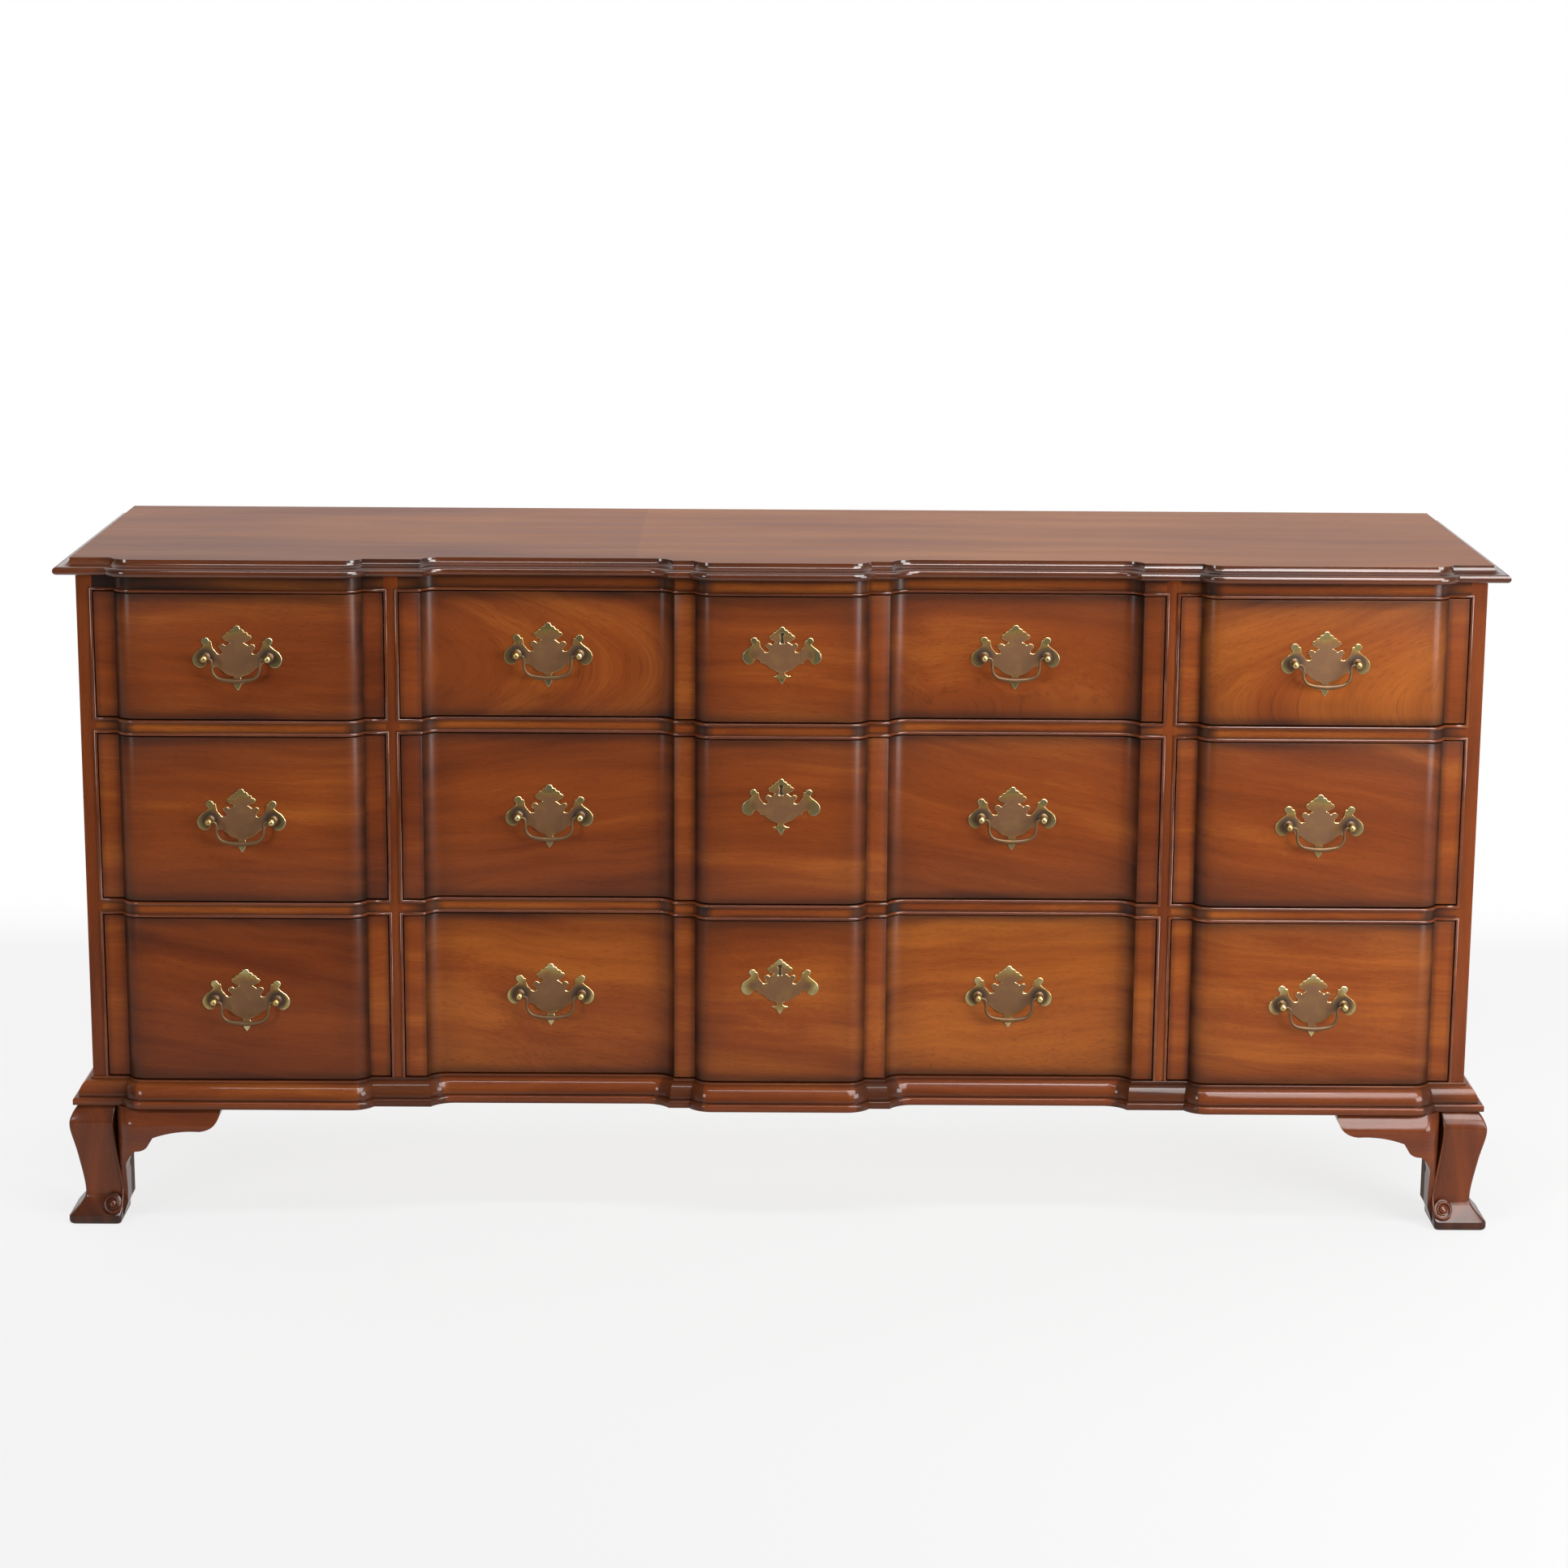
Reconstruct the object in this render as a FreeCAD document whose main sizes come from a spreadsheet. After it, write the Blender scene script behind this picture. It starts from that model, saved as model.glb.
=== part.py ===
import FreeCAD, Part
import math
import os
import Sketcher

# A chest of nine drawers with a blocked front: the end blocks and the centre block
# stand forward of narrow flat strips, the two blocks between them are sunk behind.
# Millimetres. Floor at z = 0, front towards -Y, origin under the middle of the outer box.

doc = FreeCAD.newDocument("block_front_chest")
sheet = doc.addObject("Spreadsheet::Sheet", "Sizes")

DRIVING_SIZES = {
    # plan of the front, from the middle outwards
    "centre_block": 225.4,
    "inner_strip": 27.3,
    "recess": 330.0,
    "stile_strip": 75.0,
    "end_block": 320.5,
    "corner_strip": 49.0,
    "block_depth": 18.0,
    "corner_run": 24.0,
    "break_drift": 0.3,
    # heights, from the floor upwards
    "foot_height": 164.0,
    "base_height": 34.0,
    "lower_front": 220.0,
    "middle_front": 220.0,
    "upper_front": 165.0,
    "rail_height": 20.5,
    "top_rail_height": 22.5,
    "top_thickness": 21.0,
    # case
    "case_depth": 470.0,
    "outer_stile": 20.6,
    "inner_stile": 18.0,
    "stile_depth": 20.0,
    "rail_depth": 45.0,
    "side_thickness": 18.0,
    "back_thickness": 8.0,
    "dust_thickness": 9.0,
    "bottom_thickness": 18.0,
    "guide_height": 30.0,
    "bead_width": 4.0,
    "bead_rise": 2.5,
    # top edge
    "top_overhang": 25.0,
    "arris_overhang": 5.6,
    "arris_drop": 2.0,
    "cove_height": 8.0,
    "cove_end": 16.0,
    "top_back_overhang": 8.0,
    # base moulding
    "base_projection": 24.0,
    "base_fillet": 3.0,
    "base_ovolo": 17.0,
    "base_quirk": 2.0,
    "base_band": 10.0,
    "base_stock": 45.0,
    # feet, measured outwards from the case
    "foot_neck": 19.0,
    "knee": 29.0,
    "knee_height": 135.0,
    "calf": 21.0,
    "calf_height": 96.0,
    "ankle": 13.5,
    "ankle_height": 48.0,
    "toe": 33.0,
    "toe_height": 12.0,
    "pad_edge": 5.0,
    "leg_inside": 33.5,
    "leg_back": 40.0,
    "instep": 16.5,
    "instep_height": 30.0,
    "wing_length": 140.6,
    "wing_end_run": 28.0,
    "wing_drop": 29.5,
    "wing_shelf": 50.0,
    "wing_shelf_drop": 39.5,
    "wing_cusp": 41.0,
    "wing_cusp_drop": 54.5,
    "wing_crook": 25.0,
    "wing_crook_drop": 61.5,
    "wing_post": 10.0,
    "wing_post_height": 66.0,
    "wing_post_lift": 26.0,
    "wing_post_toe": 1.0,
    "wing_end_bow": 0.2,
    "wing_shelf_bow": -0.06,
    "wing_cusp_bow": 0.12,
    "wing_crook_bow": -0.15,
    "wing_knee": 28.8,
    "wing_calf": 30.0,
    "wing_back": 14.0,
    "side_wing_thickness": 22.0,
    "block_width": 10.0,
    "block_lift": 26.0,
    "cleat_width": 20.0,
    # drawers
    "reveal": 1.5,
    "front_wall": 20.0,
    "drawer_side": 12.0,
    "drawer_bottom": 6.0,
    "bottom_lift": 8.0,
    "side_drop": 12.0,
    "back_drop": 10.0,
    "box_play": 2.0,
    "box_end_gap": 22.0,
    # brasses
    "boring": 82.0,
    "plate_thickness": 1.6,
    "axis_height": 14.0,
    "ball_radius": 5.2,
    "neck_radius": 3.2,
    "collar_radius": 6.8,
    "shank_radius": 2.5,
    "shank_play": 0.25,
    "shank_end": 6.0,
    "pin_radius": 1.8,
    "pin_play": 0.05,
    "pin_depth": 6.5,
    "pin_end_play": 0.3,
    "bail_gap": 0.5,
    "bail_bend": 4.5,
    "bail_cheek": 8.5,
    "bail_corner": 14.0,
    "bail_slope": 14.0,
    "grip_radius": 3.2,
    "escutcheon_scale": 0.885,
    "keyhole_radius": 2.7,
    "keyhole_rise": 26.5,
    "keyhole_slot": 11.5,
    "keyhole_slot_width": 4.2,
    "escutcheon_lift": 22.0,
    "escutcheon_lift_upper": 7.0,
}

for row, (alias, figure) in enumerate(DRIVING_SIZES.items(), start=1):
    sheet.set(f"A{row}", alias)
    sheet.set(f"B{row}", str(figure))
    sheet.setAlias(f"B{row}", alias)
doc.recompute()


class Size:
    """A length that knows the sheet formula it comes from."""

    def __init__(self, value, formula):
        self.value = value
        self.formula = formula

    @staticmethod
    def of(other):
        return other if isinstance(other, Size) else Size(float(other), f"{float(other)}")

    def join(self, other, sign, value):
        return Size(value, f"({self.formula} {sign} {other.formula})")

    def __add__(self, other):
        other = Size.of(other)
        return self.join(other, "+", self.value + other.value)

    def __sub__(self, other):
        other = Size.of(other)
        return self.join(other, "-", self.value - other.value)

    def __mul__(self, other):
        other = Size.of(other)
        return self.join(other, "*", self.value * other.value)

    def __truediv__(self, other):
        other = Size.of(other)
        return self.join(other, "/", self.value / other.value)

    def __neg__(self):
        return Size(-self.value, f"(0 - {self.formula})")


def size(alias):
    return Size(sheet.get(alias), f"Sizes.{alias}")


def number(alias):
    return sheet.get(alias)


ZERO = Size(0.0, "0")

# How far a cutting or trimming shape reaches past the wood or brass it works on
PAST = 1.0

# Places worked out from the driving sizes

half_centre = size("centre_block") / 2
recess_inner = half_centre + size("inner_strip")
recess_outer = recess_inner + size("recess")
end_inner = recess_outer + size("stile_strip")
end_outer = end_inner + size("end_block")
half_case = end_outer + size("corner_strip")

front_reach = size("block_depth") + size("knee")
overall_depth = front_reach + size("case_depth") + size("top_back_overhang")
strip_y = front_reach - overall_depth / 2
case_back = strip_y + size("case_depth")
top_back = case_back + size("top_back_overhang")
panel_front = case_back - size("back_thickness")
stile_back = strip_y + size("stile_depth")
rail_back = strip_y + size("rail_depth")

base_top = size("foot_height") + size("base_height")
ROWS = ("lower", "middle", "upper")
opening_bottom = {}
opening_top = {}
level = base_top
for name in ROWS:
    opening_bottom[name] = level
    opening_top[name] = level + size(f"{name}_front") + size("reveal") * 2
    level = opening_top[name] + size("rail_height")
case_top = opening_top["upper"] + size("top_rail_height")
top_face = case_top + size("top_thickness")

outer_edge = half_case - size("outer_stile")
stile_middle = (recess_outer + end_inner) / 2
inner_edge = stile_middle + size("inner_stile") / 2
centre_edge = stile_middle - size("inner_stile") / 2
side_face = half_case - size("side_thickness")

SIDES = {"left": -1, "right": 1}
BAYS = {
    "left": (-outer_edge, -inner_edge),
    "centre": (-centre_edge, centre_edge),
    "right": (inner_edge, outer_edge),
}

nodes = []


def node(piece, label):
    """Give a finished sub-part the name it is filed under."""
    piece.Label = label
    nodes.append(piece)
    return piece


def board(name, x, y, z):
    """A plain board between two planes on each axis."""
    box = doc.addObject("Part::Box", name)
    for length, axis, (low, high) in zip(("Length", "Width", "Height"), "xyz", (x, y, z)):
        box.setExpression(length, (high - low).formula)
        box.setExpression(f"Placement.Base.{axis}", low.formula)
    return box


def group(label, pieces):
    """Several separate solids filed as one sub-part."""
    compound = doc.addObject("Part::Compound", label)
    compound.Links = pieces
    return node(compound, label)


def shaped(name, shape, place=None):
    """A piece with a form of its own, set in place after it is shaped."""
    feature = doc.addObject("Part::Feature", name)
    feature.Shape = shape
    feature.Placement = FreeCAD.Placement(place or FreeCAD.Vector(), FreeCAD.Rotation())
    return feature


def mirrored_span(side, low, high):
    """A span given on the right-hand side, turned over for the left."""
    return (low, high) if SIDES[side] > 0 else (-high, -low)


def front_line(projection=ZERO):
    """The blocked front from left to right as (x, y, curved) corners, y from the strips.

    curved tells that the stretch up to this corner is an arc, level at its block end."""
    run = size("corner_run")
    depth = size("block_depth")
    drift = size("break_drift") * projection
    strip = -projection
    block = strip - depth
    sunk = strip + depth
    half = (
        (half_centre - run, block, False),
        (half_centre + drift, strip, True),
        (recess_inner + drift, strip, False),
        (recess_inner + run + drift * 2, sunk, True),
        (recess_outer - run - drift * 2, sunk, False),
        (recess_outer - drift, strip, True),
        (end_inner - drift, strip, False),
        (end_inner + run, block, True),
        (end_outer - run, block, False),
        (end_outer + drift, strip, True),
        (half_case + projection, strip, False),
    )
    left = []
    for index in range(len(half) - 1, -1, -1):
        x, y, _ = half[index]
        curved = index + 1 < len(half) and half[index + 1][2]
        left.append((-x, y, curved))
    return left + list(half)


def bay_line(bay, inset=ZERO, projection=ZERO):
    """The part of the blocked front that lies in one bay."""
    low, high = BAYS[bay]
    low = low + inset
    high = high - inset
    inside = [c for c in front_line(projection) if low.value < c[0].value < high.value]
    return [(low, -projection, False)] + inside + [(high, -projection, False)]


def arc_middle(start, end):
    """Half-way point of a corner arc that is level at the end farther from the strips."""
    flat, steep = (start, end) if abs(start[1]) > abs(end[1]) else (end, start)
    run = steep[0] - flat[0]
    rise = steep[1] - flat[1]
    radius = (run * run + rise * rise) / (2 * rise)
    half_turn = math.atan2(abs(run), abs(radius) - abs(rise)) / 2
    x = flat[0] + math.copysign(abs(radius) * math.sin(half_turn), run)
    y = flat[1] + radius * (1 - math.cos(half_turn))
    return x, y


def line_edges(corners, strip, z):
    """Edges along a front line at one height, strip being the y of its flat strips."""
    edges = []
    points = [(x.value, y.value, curved) for x, y, curved in corners]
    base = points[0][1]
    for (x0, y0, _), (x1, y1, curved) in zip(points, points[1:]):
        start = FreeCAD.Vector(x0, strip + y0, z)
        end = FreeCAD.Vector(x1, strip + y1, z)
        if curved:
            mx, my = arc_middle((x0, y0 - base), (x1, y1 - base))
            edges.append(Part.Arc(start, FreeCAD.Vector(mx, strip + base + my, z), end).toShape())
        else:
            edges.append(Part.makeLine(start, end))
    return edges


def closed_by(edges, points, z):
    """Close a run of edges through further (x, y) points back to its start."""
    start = edges[0].firstVertex().Point
    chain = [edges[-1].lastVertex().Point]
    chain += [FreeCAD.Vector(x, y, z) for x, y in points]
    chain.append(start)
    return Part.Wire(edges + [Part.makeLine(a, b) for a, b in zip(chain, chain[1:])])


def blocked_sketch(body, name, corners, back):
    """Plan of a blocked piece: its front line, closed by a straight back."""
    plane = [f for f in body.Origin.OriginFeatures if f.Role == "XY_Plane"][0]
    sketch = body.newObject("Sketcher::SketchObject", name)
    sketch.AttachmentSupport = [(plane, "")]
    sketch.MapMode = "FlatFace"
    outline = [(x, strip_y + y, curved, abs(y.value)) for x, y, curved in corners]
    outline.append((corners[-1][0], back, False, 0.0))
    outline.append((corners[0][0], back, False, 0.0))
    ends = []
    for index, (x, y, curved, _) in enumerate(outline):
        px, py = outline[index - 1][0], outline[index - 1][1]
        start = FreeCAD.Vector(px.value, py.value, 0)
        end = FreeCAD.Vector(x.value, y.value, 0)
        if curved:
            strip = strip_y.value
            mx, my = arc_middle((start.x, start.y - strip), (end.x, end.y - strip))
            geo = sketch.addGeometry(Part.Arc(start, FreeCAD.Vector(mx, strip + my, 0), end))
        else:
            geo = sketch.addGeometry(Part.LineSegment(start, end))
        forward = (sketch.getPoint(geo, 1) - start).Length < (sketch.getPoint(geo, 2) - start).Length
        ends.append((geo, 1, 2) if forward else (geo, 2, 1))
    for index, (x, y, curved, reach) in enumerate(outline):
        geo, _, last = ends[index]
        after, first, _ = ends[(index + 1) % len(outline)]
        next_curved = outline[(index + 1) % len(outline)][2]
        level_end = (curved or next_curved) and reach > 0
        kind = "Tangent" if level_end else "Coincident"
        sketch.addConstraint(Sketcher.Constraint(kind, geo, last, after, first))
        for axis, place in (("DistanceX", x), ("DistanceY", y)):
            datum = sketch.addConstraint(Sketcher.Constraint(axis, -1, 1, geo, last, place.value))
            sketch.setExpression(f"Constraints[{datum}]", place.formula)
    return sketch


def blocked_body(name, corners, back, bottom, height):
    """A length of blocked wood: its plan padded to its height."""
    body = doc.addObject("PartDesign::Body", name)
    sketch = blocked_sketch(body, f"{name}_plan", corners, back)
    pad = body.newObject("PartDesign::Pad", f"{name}_pad")
    pad.Profile = sketch
    pad.setExpression("Length", height.formula)
    body.setExpression("Placement.Base.z", bottom.formula)
    return body


# The case

def case_boards():
    """Sides, stiles, partitions, back, bottom and dust panels."""
    for side in SIDES:
        span = mirrored_span(side, side_face, half_case)
        node(board(f"side_{side}", span, (stile_back, case_back), (base_top, case_top)), f"side_{side}")
        span = mirrored_span(side, outer_edge, half_case)
        stile = board(f"outer_stile_{side}", span, (strip_y, stile_back), (base_top, case_top))
        node(stile, f"outer_stile_{side}")
    stiles = []
    partitions = []
    for side in SIDES:
        span = mirrored_span(side, centre_edge, inner_edge)
        stiles.append(board(f"inner_stile_{side}", span, (strip_y, stile_back), (base_top, case_top)))
        partitions.append(board(f"partition_{side}", span, (stile_back, panel_front), (base_top, case_top)))
    group("inner_stiles", stiles)
    group("partitions", partitions)
    behind = (panel_front, case_back)
    node(board("back_panel", (-side_face, side_face), behind, (base_top, case_top)), "back_panel")
    stock = half_case - size("base_stock")
    bottom = (base_top - size("bottom_thickness"), base_top)
    back_rail = case_back - size("base_stock")
    node(board("bottom_board", (-stock, stock), (rail_back, back_rail), bottom), "bottom_board")
    panels = []
    reach = {"left": (-side_face, -inner_edge), "centre": BAYS["centre"], "right": (inner_edge, side_face)}
    for row in ("middle", "upper"):
        floor = opening_bottom[row]
        for bay, span in reach.items():
            z = (floor - size("dust_thickness"), floor)
            panels.append(board(f"dust_panel_{row}_{bay}", span, (rail_back, panel_front), z))
    group("dust_panels", panels)


def guides():
    """Strips on the case sides that keep the outer drawers straight behind the stiles."""
    strips = []
    for side in SIDES:
        for row in ROWS:
            span = mirrored_span(side, outer_edge, side_face)
            z = (opening_bottom[row], opening_bottom[row] + size("guide_height"))
            strips.append(board(f"guide_{row}_{side}", span, (stile_back, panel_front), z))
    group("drawer_guides", strips)


def rails():
    """Blocked rails above, between and under the drawers of each bay."""
    for bay in BAYS:
        lengths = []
        for row in ROWS:
            height = size("top_rail_height") if row == "upper" else size("rail_height")
            name = f"rail_{bay}_{row}"
            lengths.append(blocked_body(name, bay_line(bay), rail_back, opening_top[row], height))
        group(f"rails_{bay}", lengths)


def cock_beads():
    """Thin beads that stand proud round every drawer opening."""
    beads = []
    strip = strip_y.value
    width = number("bead_width")
    rise = number("bead_rise")
    for bay, (low, high) in BAYS.items():
        for row in ROWS:
            bottom = opening_bottom[row].value
            top = opening_top[row].value
            levels = [top] if row == "lower" else [bottom - width, top]
            for z in levels:
                front = line_edges(bay_line(bay, projection=size("bead_rise")), strip, z)
                behind = line_edges(bay_line(bay), strip, z)
                first = Part.makeLine(front[0].Vertexes[0].Point, behind[0].Vertexes[0].Point)
                last = Part.makeLine(front[-1].Vertexes[-1].Point, behind[-1].Vertexes[-1].Point)
                wire = Part.Wire(Part.__sortEdges__(front + behind + [first, last]))
                beads.append(Part.Face(wire).extrude(FreeCAD.Vector(0, 0, width)))
            foot = bottom if row == "lower" else bottom - width
            for x in (low.value - width, high.value):
                corner = FreeCAD.Vector(x, strip - rise, foot)
                beads.append(Part.makeBox(width, rise, top + width - foot, corner))
    node(shaped("cock_beads", Part.makeCompound(beads)), "cock_beads")


# Moulded work

def quarter(steps):
    """Angles that share a quarter turn evenly."""
    return [math.pi / 2 * step / steps for step in range(steps + 1)]


def top_profile():
    """Runs of (overhang, drop below the top face) down the edge of the top."""
    arris = number("arris_overhang")
    drop = number("arris_drop")
    cove_run = number("cove_end") - arris
    cove_height = number("cove_height")
    nose = (number("top_thickness") - drop - cove_height) / 2
    nose_middle = drop + cove_height + nose
    nose_inside = number("top_overhang") - nose
    cove = [(arris + cove_run * (1 - math.cos(a)), drop + cove_height * math.sin(a)) for a in quarter(3)]
    half_turn = [2 * a for a in quarter(4)]
    bullnose = [(nose_inside + nose * math.sin(a), nose_middle - nose * math.cos(a)) for a in half_turn]
    return [[(arris, 0.0), (arris, drop)], cove, bullnose]


def base_profile():
    """Runs of (projection, drop below the case) down the base moulding."""
    fillet = number("base_fillet")
    ovolo = number("base_ovolo")
    band_top = number("base_height") - number("base_band")
    quirk_top = band_top - number("base_quirk")
    swell = quirk_top - fillet
    rounding = number("base_projection") - ovolo
    bulge = ovolo - fillet
    curve = [(fillet + bulge * math.sin(a), fillet + swell * (1 - math.cos(a))) for a in quarter(4)]
    edge = [(ovolo + rounding * (1 + math.sin(a)) / 2, band_top + rounding * (1 - math.cos(a)) / 2)
            for a in quarter(2)]
    return [
        [(fillet, 0.0), (fillet, fillet)],
        curve,
        [(ovolo, quirk_top), (ovolo, band_top)],
        edge,
        [edge[-1], (number("base_projection"), number("base_height"))],
    ]


def moulded(profile, top, outline):
    """A solid skinned down the runs of a profile; outline gives its plan at each drop."""
    faces = []
    reach = plan = None
    for run in profile:
        plans = [outline(Size.of(projection), top - drop) for projection, drop in run]
        if plan is None:
            faces.append(Part.Face(plans[0]))
        elif run[0][0] > reach:
            faces += Part.Face(plans[0]).cut(Part.Face(plan)).Faces
        faces += Part.makeLoft(plans, False, True).Faces
        reach = run[-1][0]
        plan = plans[-1]
    faces.append(Part.Face(plan))
    shell = Part.makeShell(faces)
    shell.sewShape()
    return Part.makeSolid(shell)


def top():
    """The top board, its moulded edge following the blocks."""
    def outline(projection, z):
        edges = line_edges(front_line(projection), strip_y.value, z)
        reach = half_case.value + projection.value
        return closed_by(edges, [(reach, top_back.value), (-reach, top_back.value)], z)

    node(shaped("top", moulded(top_profile(), top_face.value, outline)), "top")


def base_moulding():
    """Front and side lengths of the base moulding, mitred, and a plain rail behind."""
    stock = half_case.value - number("base_stock")
    strip = strip_y.value
    behind = strip + number("base_stock")

    def front(projection, z):
        edges = line_edges(front_line(projection), strip, z)
        return closed_by(edges, [(stock, behind), (-stock, behind)], z)

    def return_length(sign):
        def outline(projection, z):
            reach = half_case.value + projection.value
            outside = [(reach, strip - projection.value), (reach, case_back.value)]
            inside = [(stock, case_back.value), (stock, behind)]
            points = [FreeCAD.Vector(sign * x, y, z) for x, y in outside + inside]
            return Part.makePolygon(points + points[:1])
        return outline

    profile = base_profile()
    lengths = [shaped("base_front", moulded(profile, base_top.value, front))]
    for side, sign in SIDES.items():
        lengths.append(shaped(f"base_{side}", moulded(profile, base_top.value, return_length(sign))))
    inside = half_case - size("base_stock")
    back = (case_back - size("base_stock"), case_back)
    lengths.append(board("base_back_rail", (-inside, inside), back, (size("foot_height"), base_top)))
    group("base_moulding", lengths)


# Ogee bracket feet

def ogee_curve(extra, place):
    """Outer line of a foot from its neck to the floor; place turns (reach, height) to a point."""
    height = number("foot_height")
    heights = ("knee", "calf", "ankle", "instep", "toe")
    stations = [(number("foot_neck"), height)]
    stations += [(number(part), number(f"{part}_height")) for part in heights]
    spline = Part.BSplineCurve()
    spline.interpolate([place(reach + extra, z) for reach, z in stations])
    toe = number("toe") + extra
    edge = number("pad_edge")
    bend = edge * (1 - math.sqrt(0.5))
    side = Part.makeLine(place(toe, number("toe_height")), place(toe, edge))
    corner = Part.Arc(place(toe, edge), place(toe - bend, bend), place(toe - edge, 0))
    return [spline.toShape(), side, corner.toShape()]


def slab(edges, closing, direction):
    """Close an outline through further points and give it thickness."""
    chain = [edges[-1].lastVertex().Point] + closing + [edges[0].firstVertex().Point]
    wire = Part.Wire(edges + [Part.makeLine(a, b) for a, b in zip(chain, chain[1:])])
    return Part.Face(wire).extrude(direction)


def ogee_slab(sign, low_y, high_y, inside):
    """A length of the foot's side profile running from front to back."""
    half = half_case.value
    height = number("foot_height")

    def place(reach, z):
        return FreeCAD.Vector(sign * (half + reach), low_y, z)

    edges = ogee_curve(0, place)
    closing = [place(-inside, 0), place(-inside, height)]
    return slab(edges, closing, FreeCAD.Vector(0, high_y - low_y, 0))


def wing_edges(place):
    """Under edge of a wing bracket, from its far end in to the post beside the leg."""
    height = number("foot_height")
    length = number("wing_length")
    shoulder = (length - number("wing_end_run"), height - number("wing_drop"))
    shelf = (number("wing_shelf"), height - number("wing_shelf_drop"))
    cusp = (number("wing_cusp"), height - number("wing_cusp_drop"))
    crook = (number("wing_crook"), height - number("wing_crook_drop"))
    post = (number("wing_post"), number("wing_post_height"))
    heel = (number("wing_post"), number("wing_post_lift"))

    def bowed(start, end, bow):
        middle = ((start[0] + end[0]) / 2, (start[1] + end[1]) / 2)
        across = (start[1] - end[1], end[0] - start[0])
        bent = (middle[0] + bow * across[0], middle[1] + bow * across[1])
        return Part.Arc(place(*start), place(*bent), place(*end)).toShape()

    return [
        bowed((length, height), shoulder, number("wing_end_bow")),
        bowed(shoulder, shelf, number("wing_shelf_bow")),
        Part.makeLine(place(*shelf), place(*cusp)),
        bowed(cusp, crook, number("wing_cusp_bow")),
        bowed(crook, post, number("wing_crook_bow")),
        Part.makeLine(place(*post), place(*heel)),
        Part.makeLine(place(*heel), place(number("wing_post_toe"), 0)),
    ]


def front_leg(sign):
    """Corner leg sawn to the same S on its front and on its outer side."""
    half = half_case.value
    strip = strip_y.value
    inside = number("leg_inside")
    toe = number("toe")
    back = strip + number("leg_back")
    across = ogee_slab(sign, strip - toe, back, inside)

    def place(reach, z):
        return FreeCAD.Vector(sign * (half - inside), strip - reach, z)

    edges = ogee_curve(0, place)
    closing = [place(-number("leg_back"), 0), place(-number("leg_back"), number("foot_height"))]
    along = slab(edges, closing, FreeCAD.Vector(sign * (inside + toe), 0, 0))
    return across.common(along)


def front_wing(sign):
    """Bracket beside the front leg: it carries the end block down and fades into the ankle."""
    strip = strip_y.value
    height = number("foot_height")
    depth = number("block_depth")
    inner = half_case.value - number("leg_inside")
    length = number("wing_length")
    swell = number("knee") + depth
    back = strip + number("wing_back")

    def face(run, z):
        return FreeCAD.Vector(sign * (inner - run), back + PAST, z)

    thickness = FreeCAD.Vector(0, -swell - number("wing_back") - 3 * PAST, 0)
    outline = slab(wing_edges(face), [face(0, 0), face(0, height)], thickness)

    stations = [
        (number("foot_neck") + depth, height),
        (number("wing_knee") + depth, number("knee_height")),
        (number("wing_calf"), number("calf_height")),
        (number("ankle"), number("ankle_height")),
    ]

    def side(reach, z):
        return FreeCAD.Vector(sign * (inner + PAST), strip - reach, z)

    spline = Part.BSplineCurve()
    spline.interpolate([side(reach, z) for reach, z in stations])
    shin = Part.makeLine(side(*stations[-1]), side(number("ankle"), 0))
    closing = [side(-number("wing_back"), 0), side(-number("wing_back"), height)]
    section = slab([spline.toShape(), shin], closing, FreeCAD.Vector(-sign * (length + 2 * PAST), 0, 0))

    def ground(run, y):
        return FreeCAD.Vector(sign * (inner - run), strip + y, -PAST)

    start = (0, -number("ankle"))
    end = (number("corner_run"), -swell)
    far = length + PAST
    near = -3 * PAST
    rear = number("wing_back") + PAST
    corner = Part.Arc(ground(*start), ground(*arc_middle(start, end)), ground(*end))
    edges = [corner.toShape(), Part.makeLine(ground(*end), ground(far, -swell))]
    closing = [ground(far, rear), ground(near, rear), ground(near, start[1])]
    plan = slab(edges, closing, FreeCAD.Vector(0, 0, height + 2 * PAST))
    return outline.common(plan).common(section)


def side_wing(sign, leg_face, heading):
    """Bracket along the case side, running from a leg's face towards the other foot."""
    height = number("foot_height")
    inside = number("side_wing_thickness")
    x = sign * (half_case.value - inside)

    def face(run, z):
        return FreeCAD.Vector(x, leg_face + heading * run, z)

    thickness = FreeCAD.Vector(sign * (inside + number("toe") + PAST), 0, 0)
    outline = slab(wing_edges(face), [face(0, 0), face(0, height)], thickness)
    ends = sorted((leg_face, leg_face + heading * (number("wing_length") + PAST)))
    return outline.common(ogee_slab(sign, ends[0], ends[1], inside))


def feet():
    """Four ogee bracket feet; the back pair is plain behind."""
    leg_back = strip_y.value + number("leg_back")
    rear_front = case_back.value - number("leg_inside") - number("leg_back")
    for side, sign in SIDES.items():
        pieces = [
            shaped(f"front_leg_{side}", front_leg(sign)),
            shaped(f"front_wing_{side}", front_wing(sign)),
            shaped(f"front_side_wing_{side}", side_wing(sign, leg_back, 1)),
        ]
        group(f"front_foot_{side}", pieces)
        rear = ogee_slab(sign, rear_front, case_back.value, number("leg_inside"))
        pieces = [
            shaped(f"rear_leg_{side}", rear),
            shaped(f"rear_side_wing_{side}", side_wing(sign, rear_front, -1)),
        ]
        group(f"rear_foot_{side}", pieces)


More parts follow.
